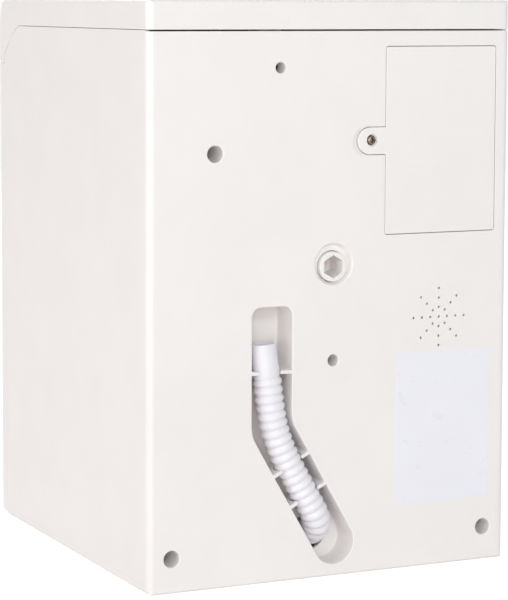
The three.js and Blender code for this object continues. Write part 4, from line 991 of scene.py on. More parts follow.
rear_walls = [
    *battery_walls,
    rod("collar", 0, AXIS.z, AXLE_WELL["r"] + 2, BACK - 14, BACK - 1),
    ring("speaker rim", SPEAKER["r"] + 0.5, SPEAKER["r"] + 2, BACK - 6, BACK - 2,
         SPEAKER["x"], SPEAKER["z"]),
    stack("pan", lambda inset: recess_outline(inset - WALL + 0.3),
          span(RECESS_FLOOR_Y - 2.2, BACK - 1)),
    *well_tubes,
]
hose_hole = overlap(
    rod("hose hole", 4.2, 17.9, 8.5, RECESS_FLOOR_Y - 4, RECESS_FLOOR_Y + 2),
    stack("hole limit", recess_outline, [(0.05, RECESS_FLOOR_Y - 4), (0.05, RECESS_FLOOR_Y + 2)]))
axle_flare = AXLE_WELL["r"] - AXLE_WELL["floor_r"]
rear_cuts = [
    recess_tool, hose_hole, *battery_cuts,
    stack("axle well", circle(0, AXIS.z + AXLE_WELL["rise"], AXLE_WELL["floor_r"], 96), [
        (0.3, BACK - AXLE_WELL["depth"]), (0, BACK - AXLE_WELL["depth"] + 0.3),
        (-0.75 * axle_flare, BACK - AXLE_WELL["lip"]), (-0.9 * axle_flare, BACK - 0.15),
        (-axle_flare - 0.15, BACK), (-axle_flare - 0.15, BACK + 1)]),
    rod("axle hole", 0, AXIS.z, AXLE_END_R + GAP, BACK - 15, BACK),
    *well_bores, *speaker_holes(),
]
rear = join(rear, *rear_walls)
rear = cut(rear, *rear_cuts)
rear = settle(soften(rear, 0.2), "housing", "case_white", "rear_housing")

# %% [markdown]
# ## Lid and front shell
# The lid is one moulding with the control fascia. It meets the rear shell along a fine seam that
# drops down the cheek beside the fascia. The front shell carries the porthole. Both come from the
# same case block, so the three shells always line up.

# %% Controls' places on the fascia
DIAL = {"u": -6.0, "r": 10.6, "stem_r": 3.0}
LENS = {"u": 25.0, "half": 11.0, "half_v": 4.0}
BUTTONS = {"start_button": 48.0, "spin_button": 62.0, "power_button": 77.0}
BUTTON_HALF = (5.0, 3.6)
BUTTON_PROUD = 1.9
DRAWER = {"x0": -79.6, "x1": -30.4, "z0": 235.0, "z1": 252.4}
DRAWER_GAP = 0.4
FASCIA_LIP = 0.25


def fascia_window(name, u, half, half_v, corner_r):
    """A hole through the fascia with a soft lip."""
    outline = rounded(u - half, u + half, -half_v, half_v, corner_r)
    return stack(name, outline, pocket(-8, 0, FASCIA_LIP), on_fascia)


def drawer_outline(grow):
    """The drawer's front, or its opening, seen from the front."""
    return rounded(
        DRAWER["x0"] - grow, DRAWER["x1"] + grow, DRAWER["z0"] - grow, DRAWER["z1"] + grow, 1.5)


# %% Lid
LID_WELL_Y = 90.0
TOP_ZONE = [
    (FAR, SEAM_Z), *CHEEK, (CHEEK[2][0], PANEL_TOP_Z + GAP), (-FAR, PANEL_TOP_Z + GAP),
    (-FAR, 2 * FAR), (FAR, 2 * FAR),
]
lid = shell_zone("lid", TOP_ZONE)
lid_screw = middle("lid_screw")
lid = join(
    lid,
    block("tongue", (-HALF + 12, FRONT + WALL + GAP, 222), (HALF - 12, FRONT + WALL + 2.1, 233)),
    block("post", (lid_screw.x - 5, 76, 224), (lid_screw.x + 5, LID_WELL_Y - GAP, HEIGHT - 1)))
lid = cut(
    lid,
    rod("post hole", lid_screw.x, lid_screw.z, 1.2, 77, LID_WELL_Y + 1, 20),
    stack("drawer hole", drawer_outline(DRAWER_GAP), span(FRONT - 6, FRONT + 17)),
    rod("stem hole", DIAL["u"], 0, DIAL["stem_r"] + 0.4, -6, 4, 32, on_fascia),
    fascia_window("lens hole", LENS["u"], LENS["half"] + GAP, LENS["half_v"] + GAP, 1.5),
    *[fascia_window("button hole", u, BUTTON_HALF[0] + GAP, BUTTON_HALF[1] + GAP, 1.6)
      for u in BUTTONS.values()])
settle(soften(lid, 0.2), "housing", "case_white", "top_cover")

# %% Front shell
PORTHOLE_R = 52.0
PORTHOLE_LIP = 0.8
HINGE = middle("door_hinge_pin")
LUG_Z = 12.0
LUG_HALF = 4.0
LATCH = {"x0": 55.9, "x1": 59.1, "half_z": 4.0}
TUB_EARS = [90, 210, 330]
TUB_EAR_REACH = 71.0
TUB_FRONT = -74.5
DEEP_WELL_Y = 32.0


def around(reach, degrees):
    """A place round the drum's axis, as (x, z)."""
    angle = math.radians(degrees)
    return reach * math.cos(angle), AXIS.z + reach * math.sin(angle)


front = shell_zone("front_shell", [
    (-FAR, -FAR), (PANEL_RETURN_Y - GAP, -FAR), (PANEL_RETURN_Y - GAP, PANEL_TOP_Z),
    (-FAR, PANEL_TOP_Z)])
inner_face = FRONT + WALL
front_walls = [ring("rim", PORTHOLE_R - 1, PORTHOLE_R + 2.4, FRONT, -83.9, 0, AXIS.z, 128)]
front_cuts = [
    stack("porthole", circle(0, AXIS.z, PORTHOLE_R, 128),
          pocket(-FRONT - 10, -FRONT, PORTHOLE_LIP), from_front),
    rod("pin hole", HINGE.x, HINGE.y, 1.6, AXIS.z - 15, AXIS.z + 30, 32, from_above),
    block("latch slot", (LATCH["x0"] - 0.9, FRONT - 1, AXIS.z - LATCH["half_z"] - 1.2),
          (LATCH["x1"] + 2.5, FRONT + 4, AXIS.z + LATCH["half_z"] + 1.2)),
]
for node in ("lower_screw_left", "lower_screw_right", "upper_screw"):
    place = middle(node)
    front_walls.append(turned("post", [
        (0, inner_face - 1), (6.2, inner_face - 1), (5, DEEP_WELL_Y - GAP), (0, DEEP_WELL_Y - GAP),
    ], (place.x, 0, place.z), 32))
    front_cuts.append(rod("post hole", place.x, place.z, 1.7, 10, DEEP_WELL_Y, 20))
for angle in TUB_EARS:
    x, z = around(TUB_EAR_REACH, angle)
    front_walls.append(rod("boss", x, z, 4, inner_face - 1, TUB_FRONT - GAP, 32))
    front_cuts.append(rod("boss hole", x, z, 1.4, inner_face + 1, TUB_FRONT, 20))
for side in (-1, 1):
    low, high = (AXIS.z + side * LUG_Z - LUG_HALF, AXIS.z + side * LUG_Z + LUG_HALF)
    front_walls.append(rod("lug", HINGE.x, HINGE.y, 3.4, low, high, 40, from_above))
    front_walls.append(block(
        "lug foot", (HINGE.x - 3.4, HINGE.y, low), (HINGE.x + 3.4, inner_face - 1, high)))
front = join(front, *front_walls)
front = cut(front, *front_cuts)
settle(soften(front, 0.2), "housing", "case_white", "front_panel")

# %% [markdown]
# ## Battery cover
# The cover is a flush plate with a round rim, two tongues on its hidden side and a recessed hole
# for its screw.

# %% Battery cover
cover_back = BACK - COVER["thick"]
cover = stack("battery_cover_plate", cover_outline, plate(cover_back, BACK, 0.35))
cover = join(cover, *[
    block("tongue", (COVER["x0"] + low, cover_back - 1.9, z - 4), (COVER["x0"] + 2.4, high, z + 4))
    for z in TONGUE_Z
    for low, high in ((0.4, cover_back + 0.5), (-2, cover_back - 0.8))])
cover = cut(
    cover,
    stack("head room", circle(cover_screw.x, cover_screw.z, 2.7, 48), pocket(BACK - 1.3, BACK, 0.2)),
    rod("shank room", cover_screw.x, cover_screw.z, 1.6, BACK - 4, BACK, 32))
settle(cover, "battery_lid", "case_white", "battery_cover")

# %% [markdown]
# ## Screws
# All the screws are pan heads with a cross recess. The head and the shank are one turned profile,
# with shallow ridges for the thread, and the cross is two narrow wedges cut into the head.

# %% Screws
RIDGE = 0.8
CROSS_WIDTH = 0.17
CROSS_REACH = 0.62
CROSS_DEPTH = 0.55
CROSS_TAPER = 0.45


def make_screw(node, body, head_r):
    """A cross-head screw where the frame has its plain one."""
    tip, crown = [corner.y for corner in toy_box(node)]
    x, z = middle(node).x, middle(node).z
    seat = head_seat(node, head_r)
    shank_r = 0.42 * head_r
    groove_r = 0.86 * shank_r
    profile = [(0, tip), (0.5 * shank_r, tip + 0.8)]
    for i in range(int((seat - tip - 2) / RIDGE)):
        base = tip + 1.6 + i * RIDGE
        profile += [(groove_r, base), (shank_r, base + RIDGE / 2)]
    profile += [(groove_r, seat), (head_r, seat)]
    profile += arc((0.1, seat + 0.15), head_r - 0.1, 0, 80, 8,
                   squash=(crown - seat - 0.15) / (head_r - 0.1))
    piece = turned(node + "_cross_head", [*profile, (0, crown)], (x, 0, z), 40)
    wide, reach = CROSS_WIDTH * head_r, CROSS_REACH * head_r
    depths = ((crown - CROSS_DEPTH * head_r, CROSS_TAPER), (crown + 0.3, 1.0))
    corners = ((-1, -1), (1, -1), (1, 1), (-1, 1))
    arms = [
        [[(x + a * reach * share, level, z + b * wide) for a, b in corners]
         for level, share in depths],
        [[(x + a * wide, level, z + b * reach * share) for a, b in corners]
         for level, share in depths]]
    cut(piece, *[skin("arm", rings) for rings in arms])
    settle(piece, body, "steel", node)


SCREW_HEADS = {
    **{node: HEAD_IN_WELL * radius for node, radius in SCREW_WELLS.items()},
    "battery_cover_screw": 2.35,
    **{f"tub_ear_screw_{i}": 2.8 for i in (1, 2, 3)},
    **{f"gear_plate_screw_{i}": 2.6 for i in (1, 2)},
}
for node, head_r in SCREW_HEADS.items():
    make_screw(node, "battery_lid" if node == "battery_cover_screw" else "housing", head_r)

# %% [markdown]
# ## Axle
# The drum's shaft is moulded in the case's white. Its end in the back has a hexagon socket, with
# two corners up and down.

# %% Shaft with its socket
HEX_ACROSS_FLATS = 8.8
HEX_R = HEX_ACROSS_FLATS / math.sqrt(3)
HEX_DEPTH = 12.6
SHAFT_R = 4.0
shaft_low, shaft_high = toy_box("drum_shaft")
end_y = shaft_high.y
shaft = turned("axle", [
    (0, shaft_low.y), (SHAFT_R + 2.3, shaft_low.y), (SHAFT_R + 2.6, shaft_low.y + 0.3),
    (SHAFT_R + 2.6, shaft_low.y + 2.7), (SHAFT_R, shaft_low.y + 2.7), (SHAFT_R, BACK - 16),
    (AXLE_END_R, BACK - 14),
    *arc((AXLE_END_R - 0.6, end_y - 0.6), 0.6, 0, 90, 6),
    (0, end_y),
], ON_AXIS, 96)
socket = stack(
    "socket", lambda inset: arc((0, AXIS.z), HEX_R - inset, 30, 330, 5),
    [(0, end_y - HEX_DEPTH), (0, end_y - 0.3), (-0.3, end_y), (-0.3, end_y + 1)])
cut(shaft, socket)
settle(shaft, "drum_unit", "case_white", "drum_shaft")

# %% [markdown]
# ## Drain hose
# The hose is a blow-moulded bellows tube: a smooth nozzle with an open mouth, forty-odd round
# ribs with narrow grooves, and a smooth cuff on the tub's spigot inside the case. Its route is a
# smooth line through listed points, the same that the frame's plain hose follows. Its wall
# goes out along the ribs and comes back down the bore, so it is a real tube.

# %% The hose's route
HOSE_ROOT_R = 5.65
HOSE_BORE_R = 4.2
HOSE_PITCH = 3.9
NOZZLE_LENGTH = 15.5
HOSE_TAIL = 13.0
HOSE_ROUTE = [
    (32.7, HOSE_Y, 107.8), (31.9, HOSE_Y, 99), (30.7, HOSE_Y, 90.7), (29.5, HOSE_Y, 81.5),
    (27.7, HOSE_Y, 71.5), (24.1, HOSE_Y, 60.6), (19.1, HOSE_Y, 50.6), (14, HOSE_Y, 41.5),
    (9.5, HOSE_Y - 0.1, 33.8), (5.9, HOSE_Y - 1.2, 27.6), (3.9, HOSE_Y - 4, 22.8),
    (3.3, HOSE_Y - 7.8, 19.8), (3.7, HOSE_Y - 12.4, 18.1), (5, 76, 17.4), (7, 68, 17.6),
    (8.6, 59, 20.5), (9, 50, 27), (9, 43, 36), (9, 39, 47), (9, 38, 60), (9, 38, 73.2),
]
ROUTE_STEPS = 60


def smooth_line(points, steps):
    """A line through all the points that bends evenly, however far apart they are."""
    points = [Vector(point) for point in points]
    points = [2 * points[0] - points[1], *points, 2 * points[-1] - points[-2]]
    line = []
    for p0, p1, p2, p3 in zip(points, points[1:], points[2:], points[3:]):
        d0, d1, d2 = [math.sqrt((b - a).length) for a, b in ((p0, p1), (p1, p2), (p2, p3))]
        start = ((p1 - p0) / d0 - (p2 - p0) / (d0 + d1) + (p2 - p1) / d1) * d1
        stop = ((p2 - p1) / d1 - (p3 - p1) / (d1 + d2) + (p3 - p2) / d2) * d1
        for i in range(steps):
            t = i / steps
            line.append((2 * t ** 3 - 3 * t ** 2 + 1) * p1 + (t ** 3 - 2 * t ** 2 + t) * start
                        + (3 * t ** 2 - 2 * t ** 3) * p2 + (t ** 3 - t ** 2) * stop)
    return [*line, points[-2]]


def measured(line):
    """How far along the line each of its points is."""
    marks = [0.0]
    for a, b in zip(line, line[1:]):
        marks.append(marks[-1] + (b - a).length)
    return marks


hose_line = smooth_line(HOSE_ROUTE, ROUTE_STEPS)
hose_marks = measured(hose_line)
hose_length = hose_marks[-1]
print("hose", round(hose_length, 1), "mm long")

# %% The ribbed hose
HOSE_SIDES = 40
RIB_STEPS = 10
RIB_FULLNESS = 0.62
BORE_STEPS = 60


def hose_stations():
    """(distance, radius) pairs: out along the nozzle, ribs and cuff, then back down the bore."""
    ribbed = hose_length - NOZZLE_LENGTH - HOSE_TAIL
    ribs = round(ribbed / HOSE_PITCH)
    pitch = ribbed / ribs
    swell = NOZZLE_BASE_R - NOZZLE_R
    out = [(0, NOZZLE_R - 0.35), (0.08, NOZZLE_R - 0.15), (0.3, NOZZLE_R)]
    out += [(NOZZLE_LENGTH * share, NOZZLE_R + swell * share) for share in (0.2, 0.5, 0.8, 0.93)]
    for rib in range(ribs):
        for share in (step / RIB_STEPS for step in range(RIB_STEPS)):
            height = ((1 - math.cos(2 * math.pi * share)) / 2) ** RIB_FULLNESS
            out.append((NOZZLE_LENGTH + (rib + share) * pitch,
                        HOSE_ROOT_R + (HOSE_R - HOSE_ROOT_R) * height))
    out += [(hose_length - HOSE_TAIL, HOSE_ROOT_R), (hose_length - 0.3, HOSE_ROOT_R)]
    back = [(hose_length, HOSE_ROOT_R - 0.3), (hose_length, HOSE_BORE_R)]
    back += [(hose_length * (1 - i / BORE_STEPS), HOSE_BORE_R) for i in range(1, BORE_STEPS - 3)]
    back += [(8.5, HOSE_BORE_R), (5.5, HOSE_BORE_R + 0.35), (1.0, NOZZLE_R - 0.75), (0, NOZZLE_R - 0.6)]
    return out + back, ribs


def route_frames(line):
    """At each point of the line, two directions across it that don't twist."""
    frames = []
    across = Vector((1, 0, 0))
    for i in range(len(line)):
        ahead = (line[min(i + 1, len(line) - 1)] - line[max(i - 1, 0)]).normalized()
        across = (across - ahead * across.dot(ahead)).normalized()
        frames.append((across, ahead.cross(across)))
    return frames


def make_hose():
    """The hose as one closed skin."""
    frames = route_frames(hose_line)
    stations, ribs = hose_stations()
    rings, at = [], 0
    for distance, radius in stations:
        while at < len(hose_marks) - 2 and hose_marks[at + 1] < distance:
            at += 1
        while at > 0 and hose_marks[at] > distance:
            at -= 1
        share = (distance - hose_marks[at]) / (hose_marks[at + 1] - hose_marks[at])
        centre = hose_line[at].lerp(hose_line[at + 1], share)
        rings.append(hoop(centre, radius, *frames[at], HOSE_SIDES))
    print("hose has", ribs, "ribs")
    return skin("ribbed_hose", rings, joined=True)


hose = make_hose()
settle(hose, "housing", "hose_white", "drain_hose")

# %% [markdown]
# ## Door
# The door is a domed ring that hangs on one steel pin between two lugs. Its dome is one smooth
# line turned about the drum's axis. A grey pull with a finger cup fills a gap in the ring and
# carries the latch hook, an inner ring clamps the clear bowl, and a rubber seal joins the tub to
# the porthole.

# %% Door ring
WINDOW_R = 46.0
DOOR_R = 62.0
DOOR_BACK_Y = -92.6
KNUCKLE_HALF = 7.6
KNUCKLE_R = 3.1
PULL_GAP_ANGLE = 13.4
DOME = [(46, -96.4), (49, -98.8), (54, -100), (58.6, -99.1), (61.2, -97), (62, -94.6)]


def smooth_profile(points, steps):
    """A smooth profile through (radius, along) points."""
    return [(p.x, p.y) for p in smooth_line([(a, b, 0) for a, b in points], steps)]


def sector(r_in, r_out, half_angle):
    """A stretch of a ring round the drum's axis, seen from the front."""
    def outline(inset):
        near, far = r_in + inset, r_out - inset
        near_half = half_angle - math.degrees(inset / near)
        far_half = half_angle - math.degrees(inset / far)
        return [
            *arc((0, AXIS.z), far, -far_half, far_half, 20),
            *arc((0, AXIS.z), near, near_half, -near_half, 20),
        ]
    return outline


door = turned("door_ring", [
    (WINDOW_R, -95.2), *smooth_profile(DOME, 6), (DOOR_R, DOOR_BACK_Y), (60.4, DOOR_BACK_Y),
    (60.4, -95.2)], ON_AXIS, 160)
door = join(
    door,
    stack("knuckle", circle(HINGE.x, HINGE.y, KNUCKLE_R, 48),
          plate(AXIS.z - KNUCKLE_HALF, AXIS.z + KNUCKLE_HALF, 0.4, 0.4), from_above),
    block("hinge arm", (HINGE.x, HINGE.y - 2.6, AXIS.z - KNUCKLE_HALF),
          (-58.6, HINGE.y + 0.4, AXIS.z + KNUCKLE_HALF)))
door = cut(
    door,
    stack("pull gap", sector(53, 70, PULL_GAP_ANGLE), span(90, 105), from_front),
    rod("pin room", HINGE.x, HINGE.y, 1.7, AXIS.z - 20, AXIS.z + 20, 32, from_above))
settle(soften(door, 0.3), "door", "case_white", "door_frame")

# %% Pull, inner ring, bowl, pin and seal
BOWL_INSIDE = [(0, -68.6), (30, -69.6), (37.5, -71.2), (41, -75), (46.9, -93)]
BOWL_OUTSIDE = [(45.2, -94.9), (39.3, -76), (36.4, -73), (29.8, -71.5), (0, -70.5)]
TUB_MOUTH_R = 47.0
pull = stack("door_pull", sector(53.3, 65.2, 13.1), plate(95.4, 99.6, 0.9, 0.3), from_front)
pull = cut(pull, stack("finger cup", sector(55.5, 61, 9), pocket(97.8, 99.6, 0.5, 1.0), from_front))
pull = join(pull, block("hook", (LATCH["x0"], -96, AXIS.z - LATCH["half_z"]),
                        (LATCH["x1"], -85, AXIS.z + LATCH["half_z"])))
settle(soften(pull, 0.35), "door", "grey_plastic", "door_handle")

clamp = turned("bowl_clamp", [
    (60.1, -94.9), (51, -94.9), (51, -92.7), (47.2, -92.7), (47.2, -91.3), (48.8, -90.6),
    (48.8, -86), (50.6, -86), (50.6, DOOR_BACK_Y), (60.1, DOOR_BACK_Y)], ON_AXIS, 160)
clamp = cut(clamp, block(
    "hook room", (LATCH["x0"] - 0.3, -97, AXIS.z - LATCH["half_z"] - 0.3),
    (62, -90, AXIS.z + LATCH["half_z"] + 0.3)))
settle(soften(clamp, 0.25), "door", "grey_plastic", "door_inner_ring")

bowl = turned("clear_bowl", [
    *smooth_profile(BOWL_INSIDE, 8), (50.7, -93), (50.7, -94.9), *smooth_profile(BOWL_OUTSIDE, 8),
], ON_AXIS, 160)
settle(bowl, "door", "clear_plastic", "door_window")

pin_low, pin_high = toy_box("door_hinge_pin")
pin = turned("hinge_pin", [
    (0, pin_low.z), (1.2, pin_low.z), (1.5, pin_low.z + 0.4), (1.5, pin_high.z - 0.4),
    (1.2, pin_high.z), (0, pin_high.z)], (HINGE.x, HINGE.y, 0), 40, "Z")
settle(pin, "housing", "steel", "door_hinge_pin")

seal = turned("porthole_seal", [
    (TUB_MOUTH_R + 2.3, TUB_FRONT - GAP), (TUB_MOUTH_R + 2.3, -81.4), (TUB_MOUTH_R - 0.4, -83),
    (TUB_MOUTH_R - 0.4, -85.2), (PORTHOLE_R - 0.4, -85.2), (PORTHOLE_R - 0.4, -83.6),
    (PORTHOLE_R + 4, -83.6), (PORTHOLE_R + 4, -81.6), (TUB_MOUTH_R + 4.2, -80.8),
    (TUB_MOUTH_R + 4.2, TUB_FRONT - GAP)], ON_AXIS, 160)
settle(soften(seal, 0.35), "housing", "seal_rubber", "door_seal")

# %% [markdown]
# ## Drum
# The drum is a cup with a rolled mouth. Its wall is pierced with rows of small round holes, each
# row shifted by half a step, and three vanes lift the toy's washing. The holes are cut as
# real openings, so light falls through them on the tub behind.

# %% Drum shell, vanes and holes
DRUM_R = 57.0
DRUM_WALL = 2.0
DRUM_FRONT = -66.0
DRUM_BACK = 36.0
DRUM_MOUTH_R = 46.0
VANES = 3
VANE_HEIGHT = 10.0
DRUM_HOLE_R = 1.7
HOLE_ROWS = 8
HOLES_BETWEEN_VANES = 6
HOLE_ROW_START = -52.0
HOLE_ROW_STEP = 10.2
VANE_TURN = 360 // VANES
VANE_CLEAR = 12
BACK_HOLES = 18
BACK_HOLE_REACH = 40


def vane(turn):
    """One lifting vane, turned about the drum's axis from the top."""
    wall = DRUM_R - DRUM_WALL
    half = [
        *curve_through((-8, wall + 0.8), (-3.4, wall - 1.5), (-2.2, wall - VANE_HEIGHT + 2)),
        *curve_through((-2.2, wall - VANE_HEIGHT + 2), (0, wall - VANE_HEIGHT - 1),
                       (2.2, wall - VANE_HEIGHT + 2))[1:],
        *curve_through((2.2, wall - VANE_HEIGHT + 2), (3.4, wall - 1.5), (8, wall + 0.8))[1:],
    ]
    cos, sin = math.cos(math.radians(turn)), math.sin(math.radians(turn))
    points = [(a * cos - b * sin, AXIS.z + a * sin + b * cos) for a, b in half]
    return stack("vane", fixed(points), span(DRUM_FRONT + 8, DRUM_BACK - 9))


def drum_hole(angle, y):
    """A short rod that runs out through the drum's wall."""
    out = Vector((math.cos(angle), 0, math.sin(angle)))
    across = Vector((-math.sin(angle), 0, math.cos(angle)))
    rings = []
    for reach in (DRUM_R - DRUM_WALL - 1.5, DRUM_R + 1.5):
        centre = out * reach + Vector((0, y, AXIS.z))
        rings.append(hoop(centre, DRUM_HOLE_R, across, Vector((0, 1, 0)), 14))
    return skin("drum hole", rings)


drum_profile = [
    (4.15, DRUM_BACK), (DRUM_R - 6, DRUM_BACK),
    *arc((DRUM_R - 6, DRUM_BACK - 6), 6, 90, 0)[1:], (DRUM_R, DRUM_FRONT + 4),
    *arc((DRUM_R - 4, DRUM_FRONT + 4), 4, 0, -90)[1:], (DRUM_MOUTH_R + 1, DRUM_FRONT),
    *arc((DRUM_MOUTH_R + 1, DRUM_FRONT + 1), 1, -90, -270, 6)[1:],
    (DRUM_R - 5, DRUM_FRONT + 2), (DRUM_R - DRUM_WALL - 1, DRUM_FRONT + 3),
    (DRUM_R - DRUM_WALL, DRUM_FRONT + 5), (DRUM_R - DRUM_WALL, DRUM_BACK - 7),
    *arc((DRUM_R - DRUM_WALL - 5, DRUM_BACK - 7.2), 5, 0, 90)[1:], (30, DRUM_BACK - 2.2),
    *curve_through((27, DRUM_BACK - 3), (22, DRUM_BACK - 9), (10, DRUM_BACK - 12)),
    (4.15, DRUM_BACK - 12),
]
drum_shell = turned("pierced_drum", drum_profile, ON_AXIS, 144)
drum_shell = join(drum_shell, *[vane(VANE_TURN * i) for i in range(VANES)])
hole_tools = []
for third in range(VANES):
    for row in range(HOLE_ROWS):
        for step in range(HOLES_BETWEEN_VANES):
            share = (step + 0.75 + 0.5 * (row % 2)) / (HOLES_BETWEEN_VANES + 1)
            degrees = 90 + VANE_TURN * third + VANE_CLEAR + (VANE_TURN - 2 * VANE_CLEAR) * share
            hole_tools.append(drum_hole(
                math.radians(degrees), HOLE_ROW_START + row * HOLE_ROW_STEP))
for i in range(BACK_HOLES):
    x, z = around(BACK_HOLE_REACH, 360 * i / BACK_HOLES)
    hole_tools.append(rod("back hole", x, z, DRUM_HOLE_R, DRUM_BACK - 4, DRUM_BACK + 1, 14))
print(len(hole_tools), "holes in the drum")
drum_shell = cut(drum_shell, *hole_tools)
settle(drum_shell, "drum_unit", "drum_silver", "drum")

# %% [markdown]
# ## Controls
# The dial is a grooved skirt with a knob on it, and a dark pointer. Fine ticks and plain numbers
# are printed round it. Three keys have crowned tops, each with a raised plain sign: a triangle, a
# ring and a bar. A clear lens closes the lamp window. All are drawn on the fascia's slope.

# %% Dial
GROOVES = 12
GROOVE_DEPTH = 0.5
KNOB_R = 9.2
STEM_LOW = -7.8


def skirt_outline(inset):
    """The dial's skirt with its soft grooves."""
    points = []
    for i in range(GROOVES * 12):
        angle = 2 * math.pi * i / (GROOVES * 12)
        dip = GROOVE_DEPTH * max(0.0, math.cos(GROOVES * angle)) ** 2
        reach = DIAL["r"] - dip - inset
        points.append((DIAL["u"] + reach * math.cos(angle), reach * math.sin(angle)))
    return points


dial = stack("dial_knob", skirt_outline,
             [(0.2, 0.4), (0, 0.6), (0, 2.2), (0.15, 2.55), (0.5, 2.8)], on_fascia)
dial = join(
    dial,
    stack("knob", circle(DIAL["u"], 0, KNOB_R, 96), [
        (0, 2.6), (0.15, 4.2), (0.35, 5.0), (0.7, 5.6), (1.3, 5.92), (2.0, 6.0)], on_fascia),
    rod("stem", DIAL["u"], 0, DIAL["stem_r"], STEM_LOW, 1, 40, on_fascia))
settle(dial, "dial", "grey_plastic", "program_dial")
pointer = stack("dial_pointer", rounded(DIAL["u"] - 0.8, DIAL["u"] + 0.8, 3, KNOB_R - 0.8, 0.7),
                [(0, 4), (0, 6.25), (0.1, 6.4), (0.3, 6.5)], on_fascia)
settle(pointer, "dial", "dark_plastic", "program_dial")

# %% Ticks and numbers
PRINT_HEIGHT = 0.04
PRINT_LEVELS = span(-0.05, PRINT_HEIGHT)
TICK_IN, TICK_OUT, TICK_HALF = 11.5, 12.5, 0.14
NUMBER_REACH = 15.2
NUMBER_HEIGHT = 2.9
NUMBER_ANGLES = [230, 205, 180, 155, 130, 50, 25, 0, -25, -50]


def tick(angle):
    """A short printed line that points at the dial's middle."""
    cos, sin = math.cos(angle), math.sin(angle)
    corners = [
        (DIAL["u"] + reach * cos - side * TICK_HALF * sin, reach * sin + side * TICK_HALF * cos)
        for reach, side in ((TICK_IN, -1), (TICK_OUT, -1), (TICK_OUT, 1), (TICK_IN, 1))]
    return stack("tick", fixed(corners), PRINT_LEVELS, on_fascia)


def number(text, a, b):
    """A plain number, laid on the fascia with its middle at (a, b)."""
    letters = bpy.data.curves.new("number", "FONT")
    letters.body = text
    letters.size = NUMBER_HEIGHT * MM
    letters.extrude = PRINT_HEIGHT * MM
    letters.align_x = "CENTER"
    letters.align_y = "CENTER"
    letters.resolution_u = 4
    piece = into_scene("number", letters)
    piece.rotation_euler = (FASCIA_ANGLE, 0, 0)
    piece.location = metres(on_fascia(a, b, 0.0))
    bpy.context.view_layer.update()
    shape = bpy.data.meshes.new_from_object(
        piece.evaluated_get(bpy.context.evaluated_depsgraph_get()))
    shape.transform(piece.matrix_world)
    bpy.data.objects.remove(piece)
    return into_scene("number", shape)


def gather(name, pieces):
    """Several solids in one mesh."""
    def work(build):
        for piece in pieces:
            build.from_mesh(piece.data)
            bpy.data.objects.remove(piece)
        bmesh.ops.remove_doubles(build, verts=build.verts, dist=0.002 * MM)
    mesh = bpy.data.meshes.new(name)
    edit(mesh, work)
    return into_scene(name, mesh)


prints = [tick(math.radians(angle)) for angle in NUMBER_ANGLES]
for i, angle in enumerate(NUMBER_ANGLES):
    turn = math.radians(angle)
    prints.append(number(
        str(i + 1), DIAL["u"] + NUMBER_REACH * math.cos(turn), NUMBER_REACH * math.sin(turn)))
settle(gather("dial_numbers", prints), "housing", "dark_plastic")

# %% Keys and lamp window
KEY_LOW = -4.0
KEY_FLANGE = -2.8
CROWN = [(0, 1.1), (0.12, 1.45), (0.35, 1.7), (0.75, 1.85), (1.5, BUTTON_PROUD)]
SIGN_LEVELS = [(0, 1.7), (0, 2.0), (0.1, 2.08)]


def key_sign(node, u):
    """The raised sign on a key."""
    if node == "start_button":
        corners = [(-0.9, -1.25), (1.4, 0), (-0.9, 1.25)]
        return stack("sign", fixed([(u + a, b) for a, b in corners]), SIGN_LEVELS, on_fascia)
    if node == "power_button":
        return stack("sign", rounded(u - 0.3, u + 0.3, -1.4, 1.4, 0.28), SIGN_LEVELS, on_fascia)
    sign = stack("sign", circle(u, 0, 1.4, 40), SIGN_LEVELS, on_fascia)
    return cut(sign, rod("inside", u, 0, 0.9, 1.0, 2.6, 40, on_fascia))


def flanged(name, u, half, half_v, corner_r, crown):
    """A cap through the fascia with a flange behind it that keeps it from falling out."""
    cap = stack(name, rounded(u - half, u + half, -half_v, half_v, corner_r),
                [(0, KEY_FLANGE - 0.6), *crown], on_fascia)
    flange = rounded(u - half - 1.2, u + half + 1.2, -half_v - 1, half_v + 1, 0.6)
    return join(cap, stack("flange", flange, span(KEY_LOW, KEY_FLANGE), on_fascia))


for node, u in BUTTONS.items():
    body = node.replace("button", "key")
    settle(flanged(node + "_cap", u, *BUTTON_HALF, 1.3, CROWN), body, "grey_plastic", node)
    settle(key_sign(node, u), body, "dark_plastic").name = node + "_sign"
lens = flanged("lamp_lens", LENS["u"], LENS["half"], LENS["half_v"], 1.2,
               [(0, 0), (0.06, 0.2), (0.25, 0.3)])
settle(lens, "housing", "clear_plastic", "indicator_lens")

# %% [markdown]
# ## Detergent drawer
# The drawer's front is cut from the fascia's slope, so it closes flush. Behind it is a tray with
# two bays and a drain hole over the tub's filling collar.

# %% Drawer
DRAWER_BACK_Y = -38.0
TRAY_WALL = 1.6
DIVIDER_X = -56.0
left, right = DRAWER["x0"] + 2.4, DRAWER["x1"] - 2.4
tray_low, tray_high = DRAWER["z0"] + 0.4, DRAWER["z1"] - 3


def fascia_slab(name, inner, outer):
    """A slab along the fascia's slope, between two depths."""
    corners = [on_fascia(0, v, w)[1:] for w, v in ((outer, -20), (inner, -20), (inner, 20), (outer, 20))]
    return stack(name, fixed(corners), span(DRAWER["x0"] - 1, DRAWER["x1"] + 1), from_side)


